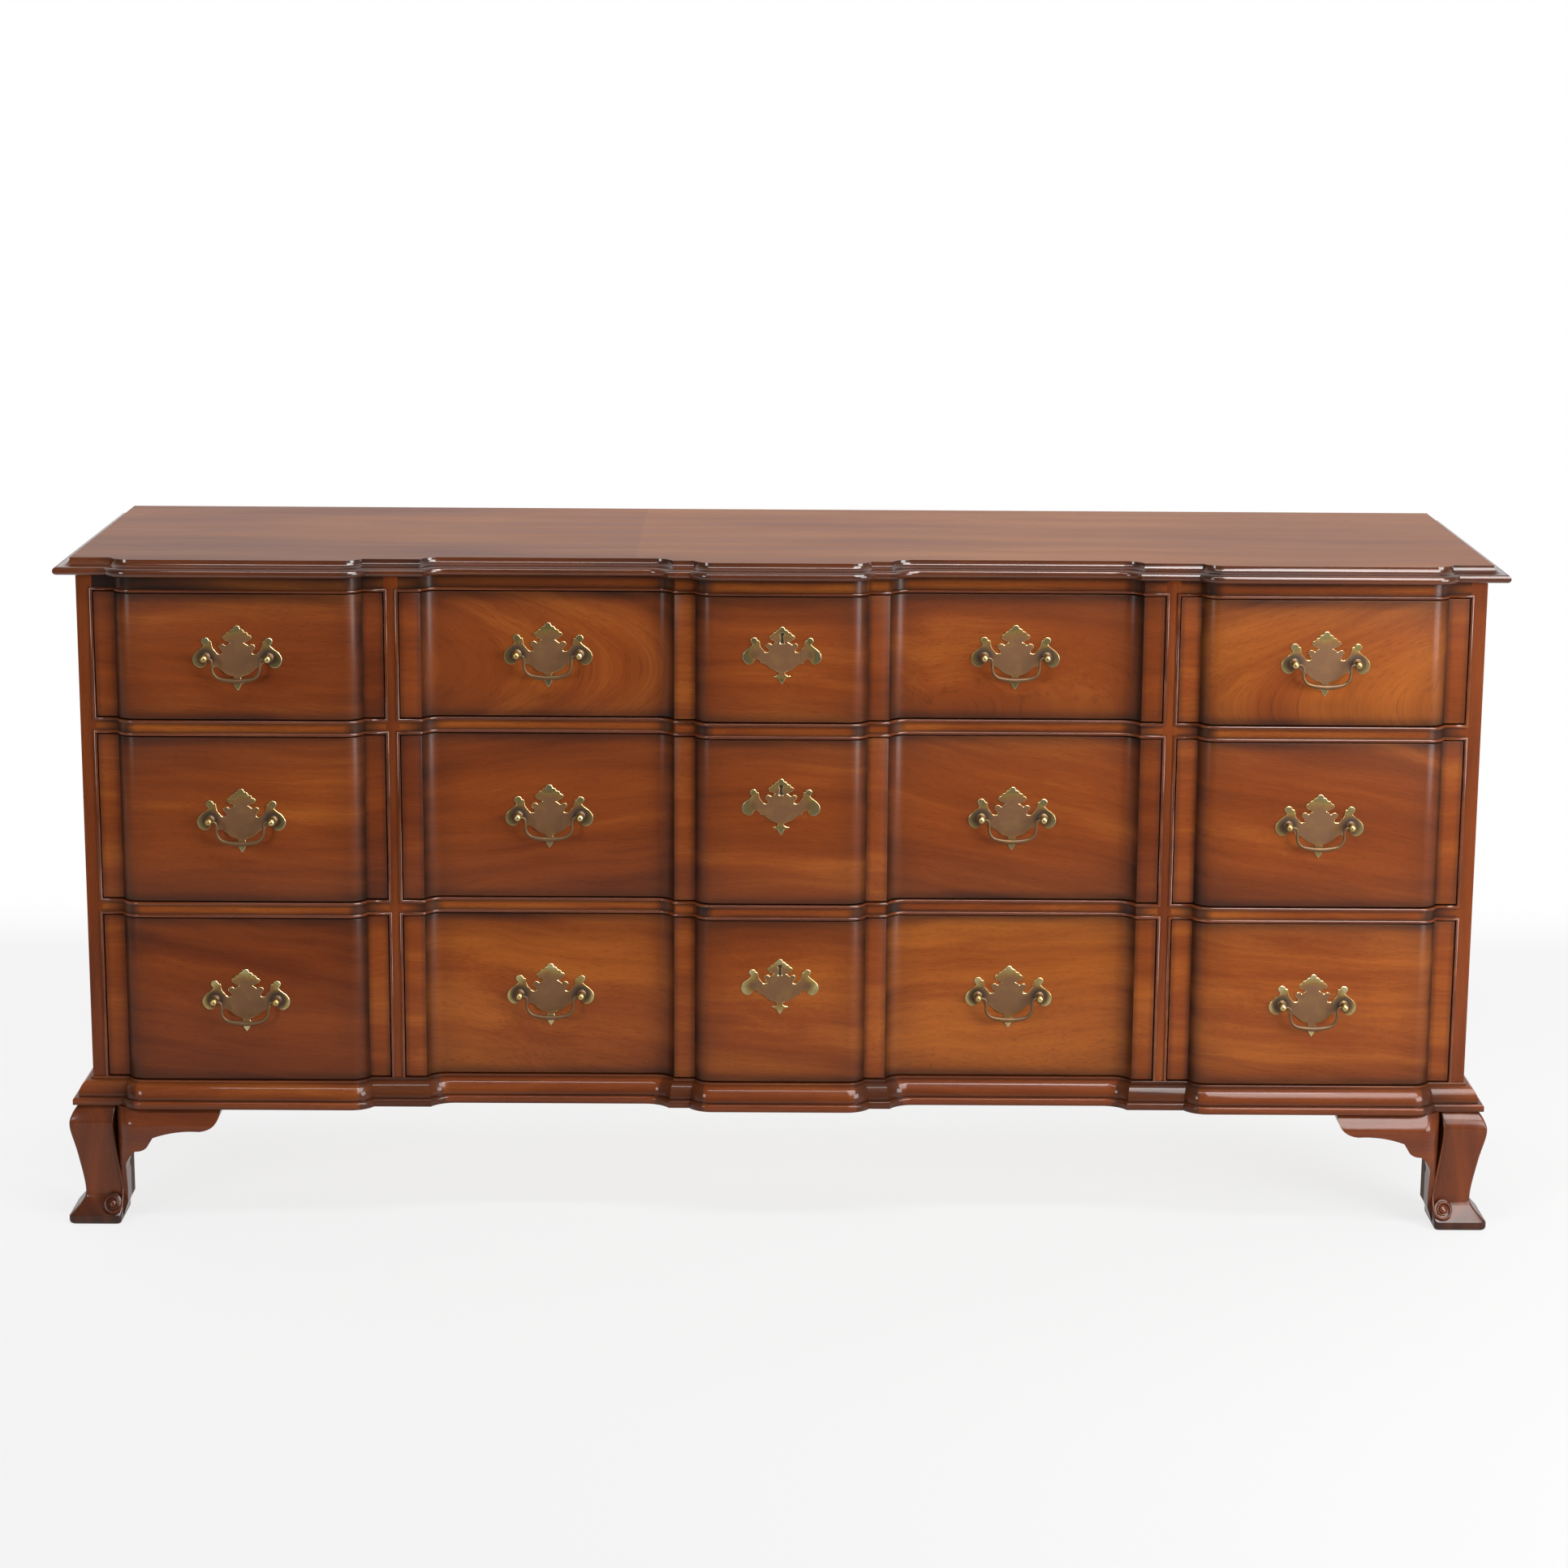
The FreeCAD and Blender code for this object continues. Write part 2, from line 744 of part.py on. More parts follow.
def glue_blocks():
    """Blocks rubbed in behind the feet, and cleats that carry the bottom board."""
    blocks = []
    leg_inside = half_case - size("leg_inside")
    height = (size("block_lift"), size("foot_height"))
    front = (strip_y + size("wing_back"), strip_y + size("leg_back"))
    rear = (case_back - size("leg_inside"), case_back)
    for side in SIDES:
        span = mirrored_span(side, leg_inside - size("block_width"), leg_inside)
        blocks.append(board(f"front_block_{side}", span, front, height))
        blocks.append(board(f"rear_block_{side}", span, rear, height))
    inside = half_case - size("base_stock")
    under = (size("foot_height"), base_top - size("bottom_thickness"))
    back_rail = case_back - size("base_stock")
    for name, y in (("front", (rail_back, rail_back + size("cleat_width"))),
                    ("back", (back_rail - size("cleat_width"), back_rail))):
        blocks.append(board(f"{name}_cleat", (-inside, inside), y, under))
    group("glue_blocks", blocks)


# Brasses, shaped about the middle of a pull with the wood's face at y = 0

# Right half of a bat-wing plate from its lower point up: (end, point on the way or None)
BAT_WING_FOOT = (0.0, -39.7)
BAT_WING = (
    ((6.0, -33.0), None),
    ((13.2, -29.0), (10.0, -32.0)),
    ((20.5, -11.5), (9.0, -21.0)),
    ((33.5, -8.5), (27.0, -11.2)),
    ((46.5, 13.5), (57.6, -0.5)),
    ((34.5, 22.0), (45.5, 26.5)),
    ((21.0, 7.5), (30.0, 12.0)),
    ((16.0, 20.5), (24.5, 15.0)),
    ((12.5, 34.0), (19.5, 27.5)),
    ((5.5, 38.5), (8.2, 35.5)),
    ((0.0, 43.4), (3.8, 42.4)),
)


def bat_wing(scale):
    """A sheet brass plate cut to the bat-wing outline."""
    edges = []
    for sign in (1, -1):
        start = BAT_WING_FOOT
        for end, way in BAT_WING:
            a, b = (FreeCAD.Vector(sign * x * scale, 0, z * scale) for x, z in (start, end))
            if way:
                middle = FreeCAD.Vector(sign * way[0] * scale, 0, way[1] * scale)
                edges.append(Part.Arc(a, middle, b).toShape())
            else:
                edges.append(Part.makeLine(a, b))
            start = end
    wire = Part.Wire(Part.__sortEdges__(edges))
    return Part.Face(wire).extrude(FreeCAD.Vector(0, -number("plate_thickness"), 0))


def along_y(radius, start, end, x=0.0, z=0.0, end_radius=None):
    """A turned stretch from start to end along Y, tapered where its radii differ."""
    place = FreeCAD.Vector(x, start, z)
    heading = FreeCAD.Vector(0, math.copysign(1, end - start), 0)
    if end_radius is None:
        return Part.makeCylinder(radius, abs(end - start), place, heading)
    return Part.makeCone(radius, end_radius, abs(end - start), place, heading)


def pull_plate():
    plate = bat_wing(1.0)
    hole = number("shank_radius") + number("shank_play")
    for sign in (1, -1):
        x = sign * number("boring") / 2
        plate = plate.cut(along_y(hole, PAST, -number("plate_thickness") - PAST, x))
    return plate


def escutcheon():
    """A smaller bat-wing plate pierced with a keyhole."""
    rise = number("keyhole_rise")
    through = -number("plate_thickness") - PAST
    width = number("keyhole_slot_width")
    slot = number("keyhole_slot")
    keyhole = along_y(number("keyhole_radius"), PAST, through, 0, rise)
    corner = FreeCAD.Vector(-width / 2, through, rise - slot)
    keyhole = keyhole.fuse(Part.makeBox(width, PAST - through, slot, corner))
    return bat_wing(number("escutcheon_scale")).cut(keyhole)


def post(sign, wall):
    """Turned post: a ball bored for the bail, a flared neck, and a shank through the wood."""
    x = sign * number("boring") / 2
    face = -number("plate_thickness")
    axis = face - number("axis_height")
    ball = number("ball_radius")
    pieces = [
        along_y(number("collar_radius"), face, axis, x, 0, number("neck_radius")),
        Part.makeSphere(ball, FreeCAD.Vector(x, axis, 0)),
    ]
    solid = along_y(number("shank_radius"), wall + number("shank_end"), face, x).fuse(pieces)
    bore = number("pin_radius") + number("pin_play")
    mouth = FreeCAD.Vector(x - sign * ball, axis, 0)
    hole = Part.makeCylinder(bore, number("pin_depth"), mouth, FreeCAD.Vector(sign, 0, 0))
    return solid.cut(hole).removeSplitter()


def bail():
    """Swinging bail about its pins' axis: cheeks, bent corners and a swelling grip.

    The wire is eight-sided, its round pins apart."""
    wire_radius = number("pin_radius")
    bend = number("bail_bend")
    corner = number("bail_corner")
    slope = math.radians(number("bail_slope"))
    ball_face = number("boring") / 2 - number("ball_radius")
    pin_end = ball_face + number("pin_depth") - number("pin_end_play")
    bend_start = ball_face - number("bail_gap")
    cheek = bend_start - bend
    cheek_end = -bend - number("bail_cheek")

    def at(x, z):
        return FreeCAD.Vector(x, 0, z)

    def ring(radius, middle, heading):
        outward = at(heading.z, -heading.x)
        corners = []
        for step in range(9):
            turn = math.pi / 4 * step
            side = FreeCAD.Vector(0, radius * math.cos(turn), 0)
            corners.append(middle + side + outward * (radius * math.sin(turn)))
        return Part.makePolygon(corners)

    arm = []
    for turn in (0, math.pi / 4, math.pi / 2):
        sine, cosine = math.sin(turn), math.cos(turn)
        place = at(bend_start - bend * sine, bend * (cosine - 1))
        arm.append((wire_radius, place, at(-cosine, -sine)))
    last_turn = math.pi / 2 - slope
    for turn in (0, last_turn / 2, last_turn):
        sine, cosine = math.sin(turn), math.cos(turn)
        place = at(cheek - corner * (1 - cosine), cheek_end - corner * sine)
        arm.append((wire_radius, place, at(-sine, -cosine)))
    grip_start = arm[-1][1]
    sweep = grip_start.x / math.sin(slope)
    centre_z = grip_start.z + sweep * math.cos(slope)
    grip = []
    for share in (0.5, 0.0, -0.5):
        turn = slope * share
        swell = math.cos(math.pi / 2 * share) ** 2
        radius = wire_radius + (number("grip_radius") - wire_radius) * swell
        place = at(sweep * math.sin(turn), centre_z - sweep * math.cos(turn))
        grip.append((radius, place, at(-math.cos(turn), -math.sin(turn))))
    other_arm = []
    for radius, place, heading in reversed(arm):
        other_arm.append((radius, at(-place.x, place.z), at(heading.x, -heading.z)))
    wire = Part.makeLoft([ring(*station) for station in arm + grip + other_arm], True, True)
    pins = [Part.makeCylinder(wire_radius, pin_end - bend_start, at(sign * bend_start, 0), at(sign, 0))
            for sign in (1, -1)]
    return wire.fuse(pins).removeSplitter()


# Drawers

def pull_places(bay):
    """Middles of a drawer's pulls: name, x, and y of the wood's face there."""
    end_middle = (end_inner + end_outer) / 2
    recess_middle = (recess_inner + recess_outer) / 2
    block_face = strip_y - size("block_depth")
    recess_face = strip_y + size("block_depth")
    return {
        "left": [("", -end_middle, block_face)],
        "right": [("", end_middle, block_face)],
        "centre": [("_left", -recess_middle, recess_face), ("_right", recess_middle, recess_face)],
    }[bay]


def front_back(bay):
    """The flat inside face of a bay's drawer fronts."""
    thinnest = strip_y + size("block_depth") if bay == "centre" else strip_y
    return thinnest + size("front_wall")


def drawer_front(bay, row):
    """Blocked front, bored for the shanks of its pulls."""
    name = f"drawer_front_{bay}_{row}"
    height = size(f"{row}_front")
    bottom = opening_bottom[row] + size("reveal")
    body = blocked_body(name, bay_line(bay, inset=size("reveal")), front_back(bay), bottom, height)
    plane = [f for f in body.Origin.OriginFeatures if f.Role == "XZ_Plane"][0]
    sketch = body.newObject("Sketcher::SketchObject", f"{name}_boring")
    sketch.AttachmentSupport = [(plane, "")]
    sketch.MapMode = "FlatFace"
    radius = size("shank_radius") + size("shank_play")
    for _, middle, _ in pull_places(bay):
        for half in (size("boring") / 2, -size("boring") / 2):
            x = middle + half
            z = height / 2
            circle = Part.Circle(FreeCAD.Vector(x.value, z.value, 0), FreeCAD.Vector(0, 0, 1), radius.value)
            geo = sketch.addGeometry(circle)
            for kind, place in (("DistanceX", x), ("DistanceY", z)):
                datum = sketch.addConstraint(Sketcher.Constraint(kind, -1, 1, geo, 3, place.value))
                sketch.setExpression(f"Constraints[{datum}]", place.formula)
            datum = sketch.addConstraint(Sketcher.Constraint("Radius", geo, radius.value))
            sketch.setExpression(f"Constraints[{datum}]", radius.formula)
    pocket = body.newObject("PartDesign::Pocket", f"{name}_holes")
    pocket.Profile = sketch
    pocket.Type = "ThroughAll"
    pocket.SideType = "Symmetric"
    return node(body, name)


def drawer_box(bay, row):
    """Two sides, a back and a bottom behind a drawer front."""
    low, high = BAYS[bay]
    left = low + size("box_play")
    right = high - size("box_play")
    wood = size("drawer_side")
    front = front_back(bay)
    end = panel_front - size("box_end_gap")
    floor = opening_bottom[row]
    rim = floor + size("reveal") + size(f"{row}_front") - size("side_drop")
    bottom = floor + size("bottom_lift")
    inside = (left + wood, right - wood)
    above = bottom + size("drawer_bottom")
    tag = f"{bay}_{row}"
    pieces = [
        board(f"drawer_side_left_{tag}", (left, left + wood), (front, end), (floor, rim)),
        board(f"drawer_side_right_{tag}", (right - wood, right), (front, end), (floor, rim)),
        board(f"drawer_back_{tag}", inside, (end - wood, end), (above, rim - size("back_drop"))),
        board(f"drawer_bottom_{tag}", inside, (front, end), (bottom, above)),
    ]
    group(f"drawer_box_{tag}", pieces)


def drawer_brasses(bay, row, plate, drop):
    """Plates and posts of a drawer, its bails, and an escutcheon on a wide one."""
    tag = f"{bay}_{row}"
    height = (opening_bottom[row] + size("reveal") + size(f"{row}_front") / 2).value
    pieces = []
    for label, x, face in pull_places(bay):
        place = FreeCAD.Vector(x.value, face.value, height)
        wall = front_back(bay).value - face.value
        pieces.append(shaped(f"plate_{tag}{label}", plate, place))
        for side, sign in SIDES.items():
            pieces.append(shaped(f"post_{tag}{label}_{side}", post(sign, wall), place))
        hinge = place - FreeCAD.Vector(0, number("plate_thickness") + number("axis_height"), 0)
        node(shaped(f"bail_{bay}{label}_{row}", drop, hinge), f"bail_{bay}{label}_{row}")
    if bay == "centre":
        lift = "escutcheon_lift_upper" if row == "upper" else "escutcheon_lift"
        place = FreeCAD.Vector(0, (strip_y - size("block_depth")).value, height + number(lift))
        pieces.append(shaped(f"escutcheon_{row}", escutcheon(), place))
    group(f"brasses_{tag}", pieces)


def drawers():
    plate = pull_plate()
    drop = bail()
    for bay in BAYS:
        for row in ROWS:
            drawer_front(bay, row)
            drawer_box(bay, row)
            drawer_brasses(bay, row, plate, drop)


case_boards()
rails()
guides()
cock_beads()
top()
base_moulding()
feet()
glue_blocks()
drawers()
doc.recompute()

for piece in doc.Objects:
    if "Invalid" in piece.State or "Error" in piece.State:
        raise RuntimeError(f"{piece.Label} failed: {piece.State}")
for piece in nodes:
    if piece.Shape.isNull() or not piece.Shape.isValid():
        raise RuntimeError(f"{piece.Label} has no valid shape")
    if not piece.Shape.Solids:
        raise RuntimeError(f"{piece.Label} holds no solid")

os.makedirs("parts", exist_ok=True)
for piece in nodes:
    piece.Shape.exportStep(os.path.join("parts", f"{piece.Label}.step"))
box = nodes[0].Shape.BoundBox
for piece in nodes:
    box.add(piece.Shape.BoundBox)
print(len(nodes), "sub-parts, outer box", box)
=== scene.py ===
from math import atan2, copysign, cos, dist, pi, radians, sin, sqrt

import bmesh
import bpy
from mathutils import Matrix, Vector


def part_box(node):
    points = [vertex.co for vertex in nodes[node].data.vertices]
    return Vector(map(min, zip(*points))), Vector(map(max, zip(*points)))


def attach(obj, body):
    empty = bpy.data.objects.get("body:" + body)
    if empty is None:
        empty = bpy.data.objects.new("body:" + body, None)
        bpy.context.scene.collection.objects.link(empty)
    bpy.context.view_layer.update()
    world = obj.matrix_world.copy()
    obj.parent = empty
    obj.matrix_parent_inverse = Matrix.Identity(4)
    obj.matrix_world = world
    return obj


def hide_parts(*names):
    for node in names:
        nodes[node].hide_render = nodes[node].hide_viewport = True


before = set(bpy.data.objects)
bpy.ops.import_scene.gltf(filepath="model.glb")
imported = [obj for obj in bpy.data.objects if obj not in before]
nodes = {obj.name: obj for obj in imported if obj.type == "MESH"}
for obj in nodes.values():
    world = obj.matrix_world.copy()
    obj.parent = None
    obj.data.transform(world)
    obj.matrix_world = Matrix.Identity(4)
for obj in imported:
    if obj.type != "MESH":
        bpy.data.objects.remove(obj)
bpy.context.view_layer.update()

# A block-front chest of nine drawers in lacquered mahogany with antiqued brass pulls.
# Metres, floor at z = 0, front towards -Y.

MM = 0.001

# Plan of the blocked front, from the middle outwards
HALF_CENTRE = 112.7 * MM
RECESS_INNER = 140.0 * MM
RECESS_OUTER = 470.0 * MM
END_INNER = 545.0 * MM
END_OUTER = 865.5 * MM
HALF_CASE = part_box("side_right")[1].x
CORNER_RUN = 24.0 * MM
BLOCK_DEPTH = 18.0 * MM
STRIP_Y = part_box("inner_stiles")[0].y
BLOCK_Y, RECESS_Y = STRIP_Y - BLOCK_DEPTH, STRIP_Y + BLOCK_DEPTH
ARC_STEPS = 10
ARRIS = 0.7 * MM

BAYS = ("left", "centre", "right")
ROWS = ("lower", "middle", "upper")
DRAWERS = [(bay, row) for bay in BAYS for row in ROWS]

# Brass pulls, from the middle of the plate
POST_OUT = 41.0 * MM
HINGE_OUT = 14.0 * MM
PLATE = 1.6 * MM


def paint(code):
    """Linear colour of an sRGB hex value."""
    parts = [int(code[i:i + 2], 16) / 255 for i in (1, 3, 5)]
    return tuple(c / 12.92 if c <= 0.04045 else ((c + 0.055) / 1.055) ** 2.4 for c in parts) + (1.0,)


def grey(value):
    return (value, value, value, 1.0)


# The property that the second word of a node's kind sets
MODES = {"Math": "operation", "VectorMath": "operation", "MapRange": "interpolation_type", "Mix": "data_type"}


def put(tree, kind, *feeds, stops=(), **settings):
    """Adds one node of a kind, which its mode may follow, as in "Math ADD".

    Feeds fill its sockets in order, a dict those it names; a node that is fed gives its first output. Settings
    are the node's properties. Stops are the colours of a ramp, hex values or greys."""
    kind, _, mode = kind.partition(" ")
    if mode:
        settings[MODES[kind]] = mode
    family = "" if kind.startswith("NodeGroup") else tree.bl_idname[:-len("Tree")]
    made = tree.nodes.new(family + kind)
    for name, value in settings.items():
        setattr(made, name, value)
    sockets = {}
    for place, feed in enumerate(feeds):
        sockets.update(feed if isinstance(feed, dict) else {place: feed})
    for socket, value in sockets.items():
        if isinstance(value, bpy.types.Node):
            value = next(out for out in value.outputs if out.enabled)
        if isinstance(value, bpy.types.NodeSocket):
            tree.links.new(value, made.inputs[socket])
        else:
            made.inputs[socket].default_value = value
    if stops:
        marks = made.color_ramp.elements
        while len(marks) < len(stops):
            marks.new(1.0)
        for mark, (place, colour) in zip(marks, stops):
            mark.position = place
            mark.color = paint(colour) if isinstance(colour, str) else grey(colour)
    return made


def add_sockets(tree, way, **kinds):
    for name, kind in kinds.items():
        tree.interface.new_socket(name, in_out=way, socket_type=f"NodeSocket{kind}")


# Mahogany

def grain_marks(tree, grain, length, width, detail):
    """Noise drawn out along the grain; length and width of its marks are in millimetres."""
    scale = (1 / (length * MM), 1 / (width * MM), 1 / (width * MM))
    stretched = put(tree, "VectorMath MULTIPLY", grain, scale)
    return put(tree, "TexNoise", {"Vector": stretched, "Scale": 1.0, "Detail": detail})


def mahogany_figure():
    """Group that turns grain coordinates (metres, x along the grain) into the wood's colour.

    Soft clouds and flames, finer streaks, fibre and dark pores, then the brown glaze rubbed into edges."""
    tree = bpy.data.node_groups.new("mahogany_figure", "ShaderNodeTree")
    add_sockets(tree, "INPUT", Grain="Vector", Tone="Float", Glaze="Float")
    add_sockets(tree, "OUTPUT", Colour="Color", Height="Float", Roughness="Float")
    given = put(tree, "NodeGroupInput").outputs
    # the flames wander about 15 mm to either side over some 300 mm of length
    spread = put(tree, "VectorMath MULTIPLY", given["Grain"], (3.2, 7.0, 7.0))
    wander = put(tree, "TexNoise", {"Vector": spread, "Scale": 1.0, "Detail": 2.0}).outputs["Color"]
    centred = put(tree, "VectorMath SUBTRACT", wander, (0.5, 0.5, 0.5))
    warped = put(tree, "VectorMath MULTIPLY_ADD", centred, (0.0, 0.06, 0.06), given["Grain"])
    mixed = given["Tone"]
    layers = {}
    # length and width of the marks in millimetres, their detail, and their share in the colour
    for name, length, width, detail, share in (
            ("cloud", 260, 90, 1.0, 0.2), ("flame", 420, 30, 2.0, 0.28), ("streak", 240, 7, 3.0, 0.09),
            ("fibre", 60, 1.5, 2.0, 0.09)):
        layers[name] = grain_marks(tree, warped, length, width, detail)
        mixed = put(tree, "Math MULTIPLY_ADD", layers[name], share, mixed)
    colour = put(tree, "ValToRGB", mixed, stops=(
        (0.06, "#451C0C"), (0.20, "#602A0F"), (0.33, "#7A3A14"), (0.46, "#99541D"), (0.62, "#B7722D")))
    # pores are 0.3 mm wide in the wood, drawn 0.8 mm wide so that they show
    pore = put(tree, "MapRange", grain_marks(tree, warped, 11, 0.8, 1.0), 0.56, 0.74)
    darker = put(tree, "Math MULTIPLY", pore, 0.28)
    flecked = put(tree, "Mix RGBA", {"Factor": darker, "A": colour, "B": paint("#2E1409")})
    # the glaze lies thicker in some places than in others
    uneven = put(tree, "MapRange", layers["flame"], 0.25, 0.75, 1.2, 0.75)
    laid = put(tree, "Math MULTIPLY", given["Glaze"], uneven, use_clamp=True)
    glazed = put(tree, "Mix RGBA", {"Factor": laid, "A": flecked, "B": paint("#261812")})
    height = put(tree, "Math MULTIPLY_ADD", pore, -0.6, layers["fibre"])
    rough = put(tree, "MapRange", layers["streak"], 0.0, 1.0, 0.36, 0.48)
    put(tree, "NodeGroupOutput", glazed, height, rough)
    return tree


MAHOGANY = mahogany_figure()


def blank(name, kind=bpy.data.materials):
    """A new material or world and its empty tree."""
    made = kind.new(name)
    made.use_nodes = True
    made.node_tree.nodes.clear()
    return made, made.node_tree


def lacquered(name, wood, coat=0.22, gloss=0.2):
    """A finished wood: wood(tree) returns the grain vector, the tone and the glaze.

    Satin lacquer over open pores: soft highlights on the curves, sharper in the thin coat on top."""
    material, tree = blank(name)
    figure = put(tree, "Group", *wood(tree), node_tree=MAHOGANY).outputs
    bump = put(tree, "Bump", {"Strength": 0.12, "Distance": 0.0004, "Height": figure["Height"]})
    shader = put(tree, "BsdfPrincipled", {
        "Base Color": figure["Colour"], "Roughness": figure["Roughness"], "IOR": 1.5, "Specular IOR Level": 0.08,
        "Coat Weight": coat, "Coat Roughness": gloss, "Coat IOR": 1.5, "Normal": bump})
    put(tree, "OutputMaterial", shader)
    return material


def along(tree, axis, shift=None):
    """Object coordinates, shifted, and turned so that x runs along the given axis, x or z."""
    place = put(tree, "TexCoord").outputs["Object"]
    if shift:
        place = put(tree, "VectorMath ADD", place, shift)
    if axis == "x":
        return place
    x, y, z = put(tree, "SeparateXYZ", place).outputs
    return put(tree, "CombineXYZ", z, x, y)


def sum_of_glaze(tree, shades):
    """Glazes laid over one another: what stays clear is the product of what each leaves clear."""
    clear = None
    for shade in shades:
        left = put(tree, "Math SUBTRACT", 1.0, shade)
        clear = put(tree, "Math MULTIPLY", clear, left) if clear else left
    return put(tree, "Math SUBTRACT", 1.0, clear)


def veneer_wood(tree):
    """Drawer veneers: every panel has its own leaf, its own tone, and glaze shaded in from its edges."""
    u, v, _ = put(tree, "SeparateXYZ", put(tree, "UVMap", uv_map="veneer")).outputs
    panel, leaf, cut = (put(tree, "Attribute", attribute_name=name).outputs["Vector"]
                        for name in ("panel", "leaf", "cut"))
    width, height, tone = put(tree, "SeparateXYZ", panel).outputs
    tilt, arch, bend = put(tree, "SeparateXYZ", leaf).outputs
    # straight grain runs along the drawer, a little tilted; plain-sawn leaves show nested arches
    straight = put(tree, "Math MULTIPLY_ADD", u, tilt, v)
    middle = put(tree, "Math MULTIPLY_ADD", height, -0.5, v)
    square = put(tree, "Math MULTIPLY", middle, middle)
    bowed = put(tree, "Math MULTIPLY", square, 7.0)
    rings = put(tree, "Math MULTIPLY_ADD", u, bend, bowed)
    across = put(tree, "Mix", {"Factor": arch, "A": straight, "B": rings})
    grain = put(tree, "VectorMath ADD", put(tree, "CombineXYZ", {0: u, 2: across}), cut)
    # narrow strips between the panels keep clearer edges
    wide = put(tree, "MapRange", width, 0.06, 0.12, 0.45)
    shades = []
    # how far in from the edges the glaze is rubbed out, and how dark it is at the very edge
    for place, span, reach, depth in ((u, width, 0.024, 0.8), (v, height, 0.016, 0.65),
                                      (u, width, 0.075, 0.3), (v, height, 0.060, 0.28)):
        far = put(tree, "Math SUBTRACT", span, place)
        edge = put(tree, "Math MINIMUM", place, far)
        share = put(tree, "Math MINIMUM", put(tree, "Math MULTIPLY", span, 0.3), reach)
        rubbed = put(tree, "MapRange SMOOTHSTEP", edge, 0.0, share, depth, 0.0)
        shades.append(put(tree, "Math MULTIPLY", rubbed, wide))
    return grain, tone, sum_of_glaze(tree, shades)


def corner_shade(tree, place, depth=0.8):
    """Glaze gathered at the corners of the blocks, by the distance out from the middle of the front."""
    out = put(tree, "Math ABSOLUTE", put(tree, "SeparateXYZ", place))
    stops = [(0.0, 0.0)]
    soft = 26.0 * MM
    for corner, run in ((HALF_CENTRE, -1), (RECESS_INNER, 1), (RECESS_OUTER, -1), (END_INNER, 1), (END_OUTER, -1)):
        for step in (-soft, 0.0, run * CORNER_RUN * 0.6, soft):
            stops.append((corner + step, depth if abs(step) < soft else 0.0))
    return put(tree, "ValToRGB", out, stops=sorted(stops))


def rail_wood(tree):
    """Rails: clear wood along the middle, glaze against the beads and at the block corners, and a painted shadow
    under the top.
    """
    place = along(tree, "x")
    x, _, z = put(tree, "SeparateXYZ", place).outputs
    fronts = [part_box(f"drawer_front_left_{row}") for row in ROWS]
    starts = [high.z for _, high in fronts]
    ends = [low.z for low, _ in fronts[1:]] + [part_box("rails_left")[1].z]
    stops = [(0.0, 0.9)]
    for under, over in zip(starts, ends):
        for part, shade in ((0.2, 0.85), (0.42, 0.1), (0.58, 0.1), (0.8, 0.85)):
            stops.append((under + part * (over - under), shade))
    edges = put(tree, "ValToRGB", z, stops=stops)
    # painted shadow under the top's overhang, darkest at the left, away from the light
    left = put(tree, "MapRange", x, -0.9, -0.1, 1.0, 0.1)
    upper = put(tree, "Math GREATER_THAN", z, starts[-1])
    painted_shadow_under_top = put(tree, "Math MULTIPLY", left, upper)
    return place, 0.03, sum_of_glaze(tree, (edges, corner_shade(tree, place), painted_shadow_under_top))


# Where the top's veneer lies in the figure
TOP_SHIFT = (2.0, 0.4, 0.0)


def top_wood(tree):
    """Top: two leaves of veneer that meet left of the middle; the right leaf is lighter, partly its own tone and
    partly painted light from the right.
    """
    x, y, _ = put(tree, "SeparateXYZ", along(tree, "x")).outputs
    leaf = put(tree, "MapRange", x, -0.192, -0.188, 0.08, 0.13)
    # darker towards the front and most at the left: painted shade, the light coming from the right
    near = put(tree, "MapRange", y, -0.26, 0.2, 0.42, 0.0)
    left = put(tree, "MapRange", x, -0.9, 0.9, 1.0, 0.25)
    # broad quiet figure, drawn out to twice the width of the drawers'
    grain = put(tree, "VectorMath MULTIPLY", along(tree, "x", TOP_SHIFT), (0.7, 0.5, 1.0))
    return grain, leaf, put(tree, "Math MULTIPLY", near, left)


def top_edge_wood(tree):
    """The top's moulded edge, dark with glaze, darkest at the block corners."""
    corners = corner_shade(tree, along(tree, "x"), 0.5)
    return along(tree, "x", TOP_SHIFT), -0.04, sum_of_glaze(tree, (0.55, corners))


def plain_wood(axis, tone, glaze, shift=None):
    """One tone and glaze all over, the grain along an axis."""
    return lambda tree: (along(tree, axis, shift), tone, glaze)


def run_wood(tone):
    """Moulded lengths: grain along the length, glaze as stored on the piece."""
    def wood(tree):
        run, across, _ = put(tree, "SeparateXYZ", put(tree, "UVMap", uv_map="run")).outputs
        grain = put(tree, "CombineXYZ", {0: run, 2: across})
        return grain, tone, put(tree, "Attribute", attribute_name="glaze").outputs["Fac"]
    return wood


VENEER = lacquered("figured_mahogany_veneer", veneer_wood, 0.17, 0.26)
RAILS = lacquered("mahogany_rails", rail_wood)
UPRIGHTS = lacquered("mahogany_uprights", plain_wood("z", -0.05, 0.1))
SIDES = lacquered("mahogany_sides", plain_wood("z", 0.02, 0.0, (0.3, 0.1, 0.7)))
TOP_BOARD = lacquered("mahogany_top", top_wood, 0.08, 0.14)
TOP_EDGE = lacquered("mahogany_top_edge", top_edge_wood, 0.9, 0.1)
BASE = lacquered("mahogany_base", run_wood(-0.02), 0.35, 0.06)
CARVED = lacquered("carved_mahogany", run_wood(-0.06), 0.4, 0.12)
FEET = lacquered("mahogany_feet", plain_wood("z", -0.06, 0.2, (0.5, 1.3, 0.2)), 0.4, 0.14)
BEADS = lacquered("mahogany_beads", plain_wood("x", -0.04, 0.35, (0.1, 0.2, 0.3)), 0.8, 0.12)


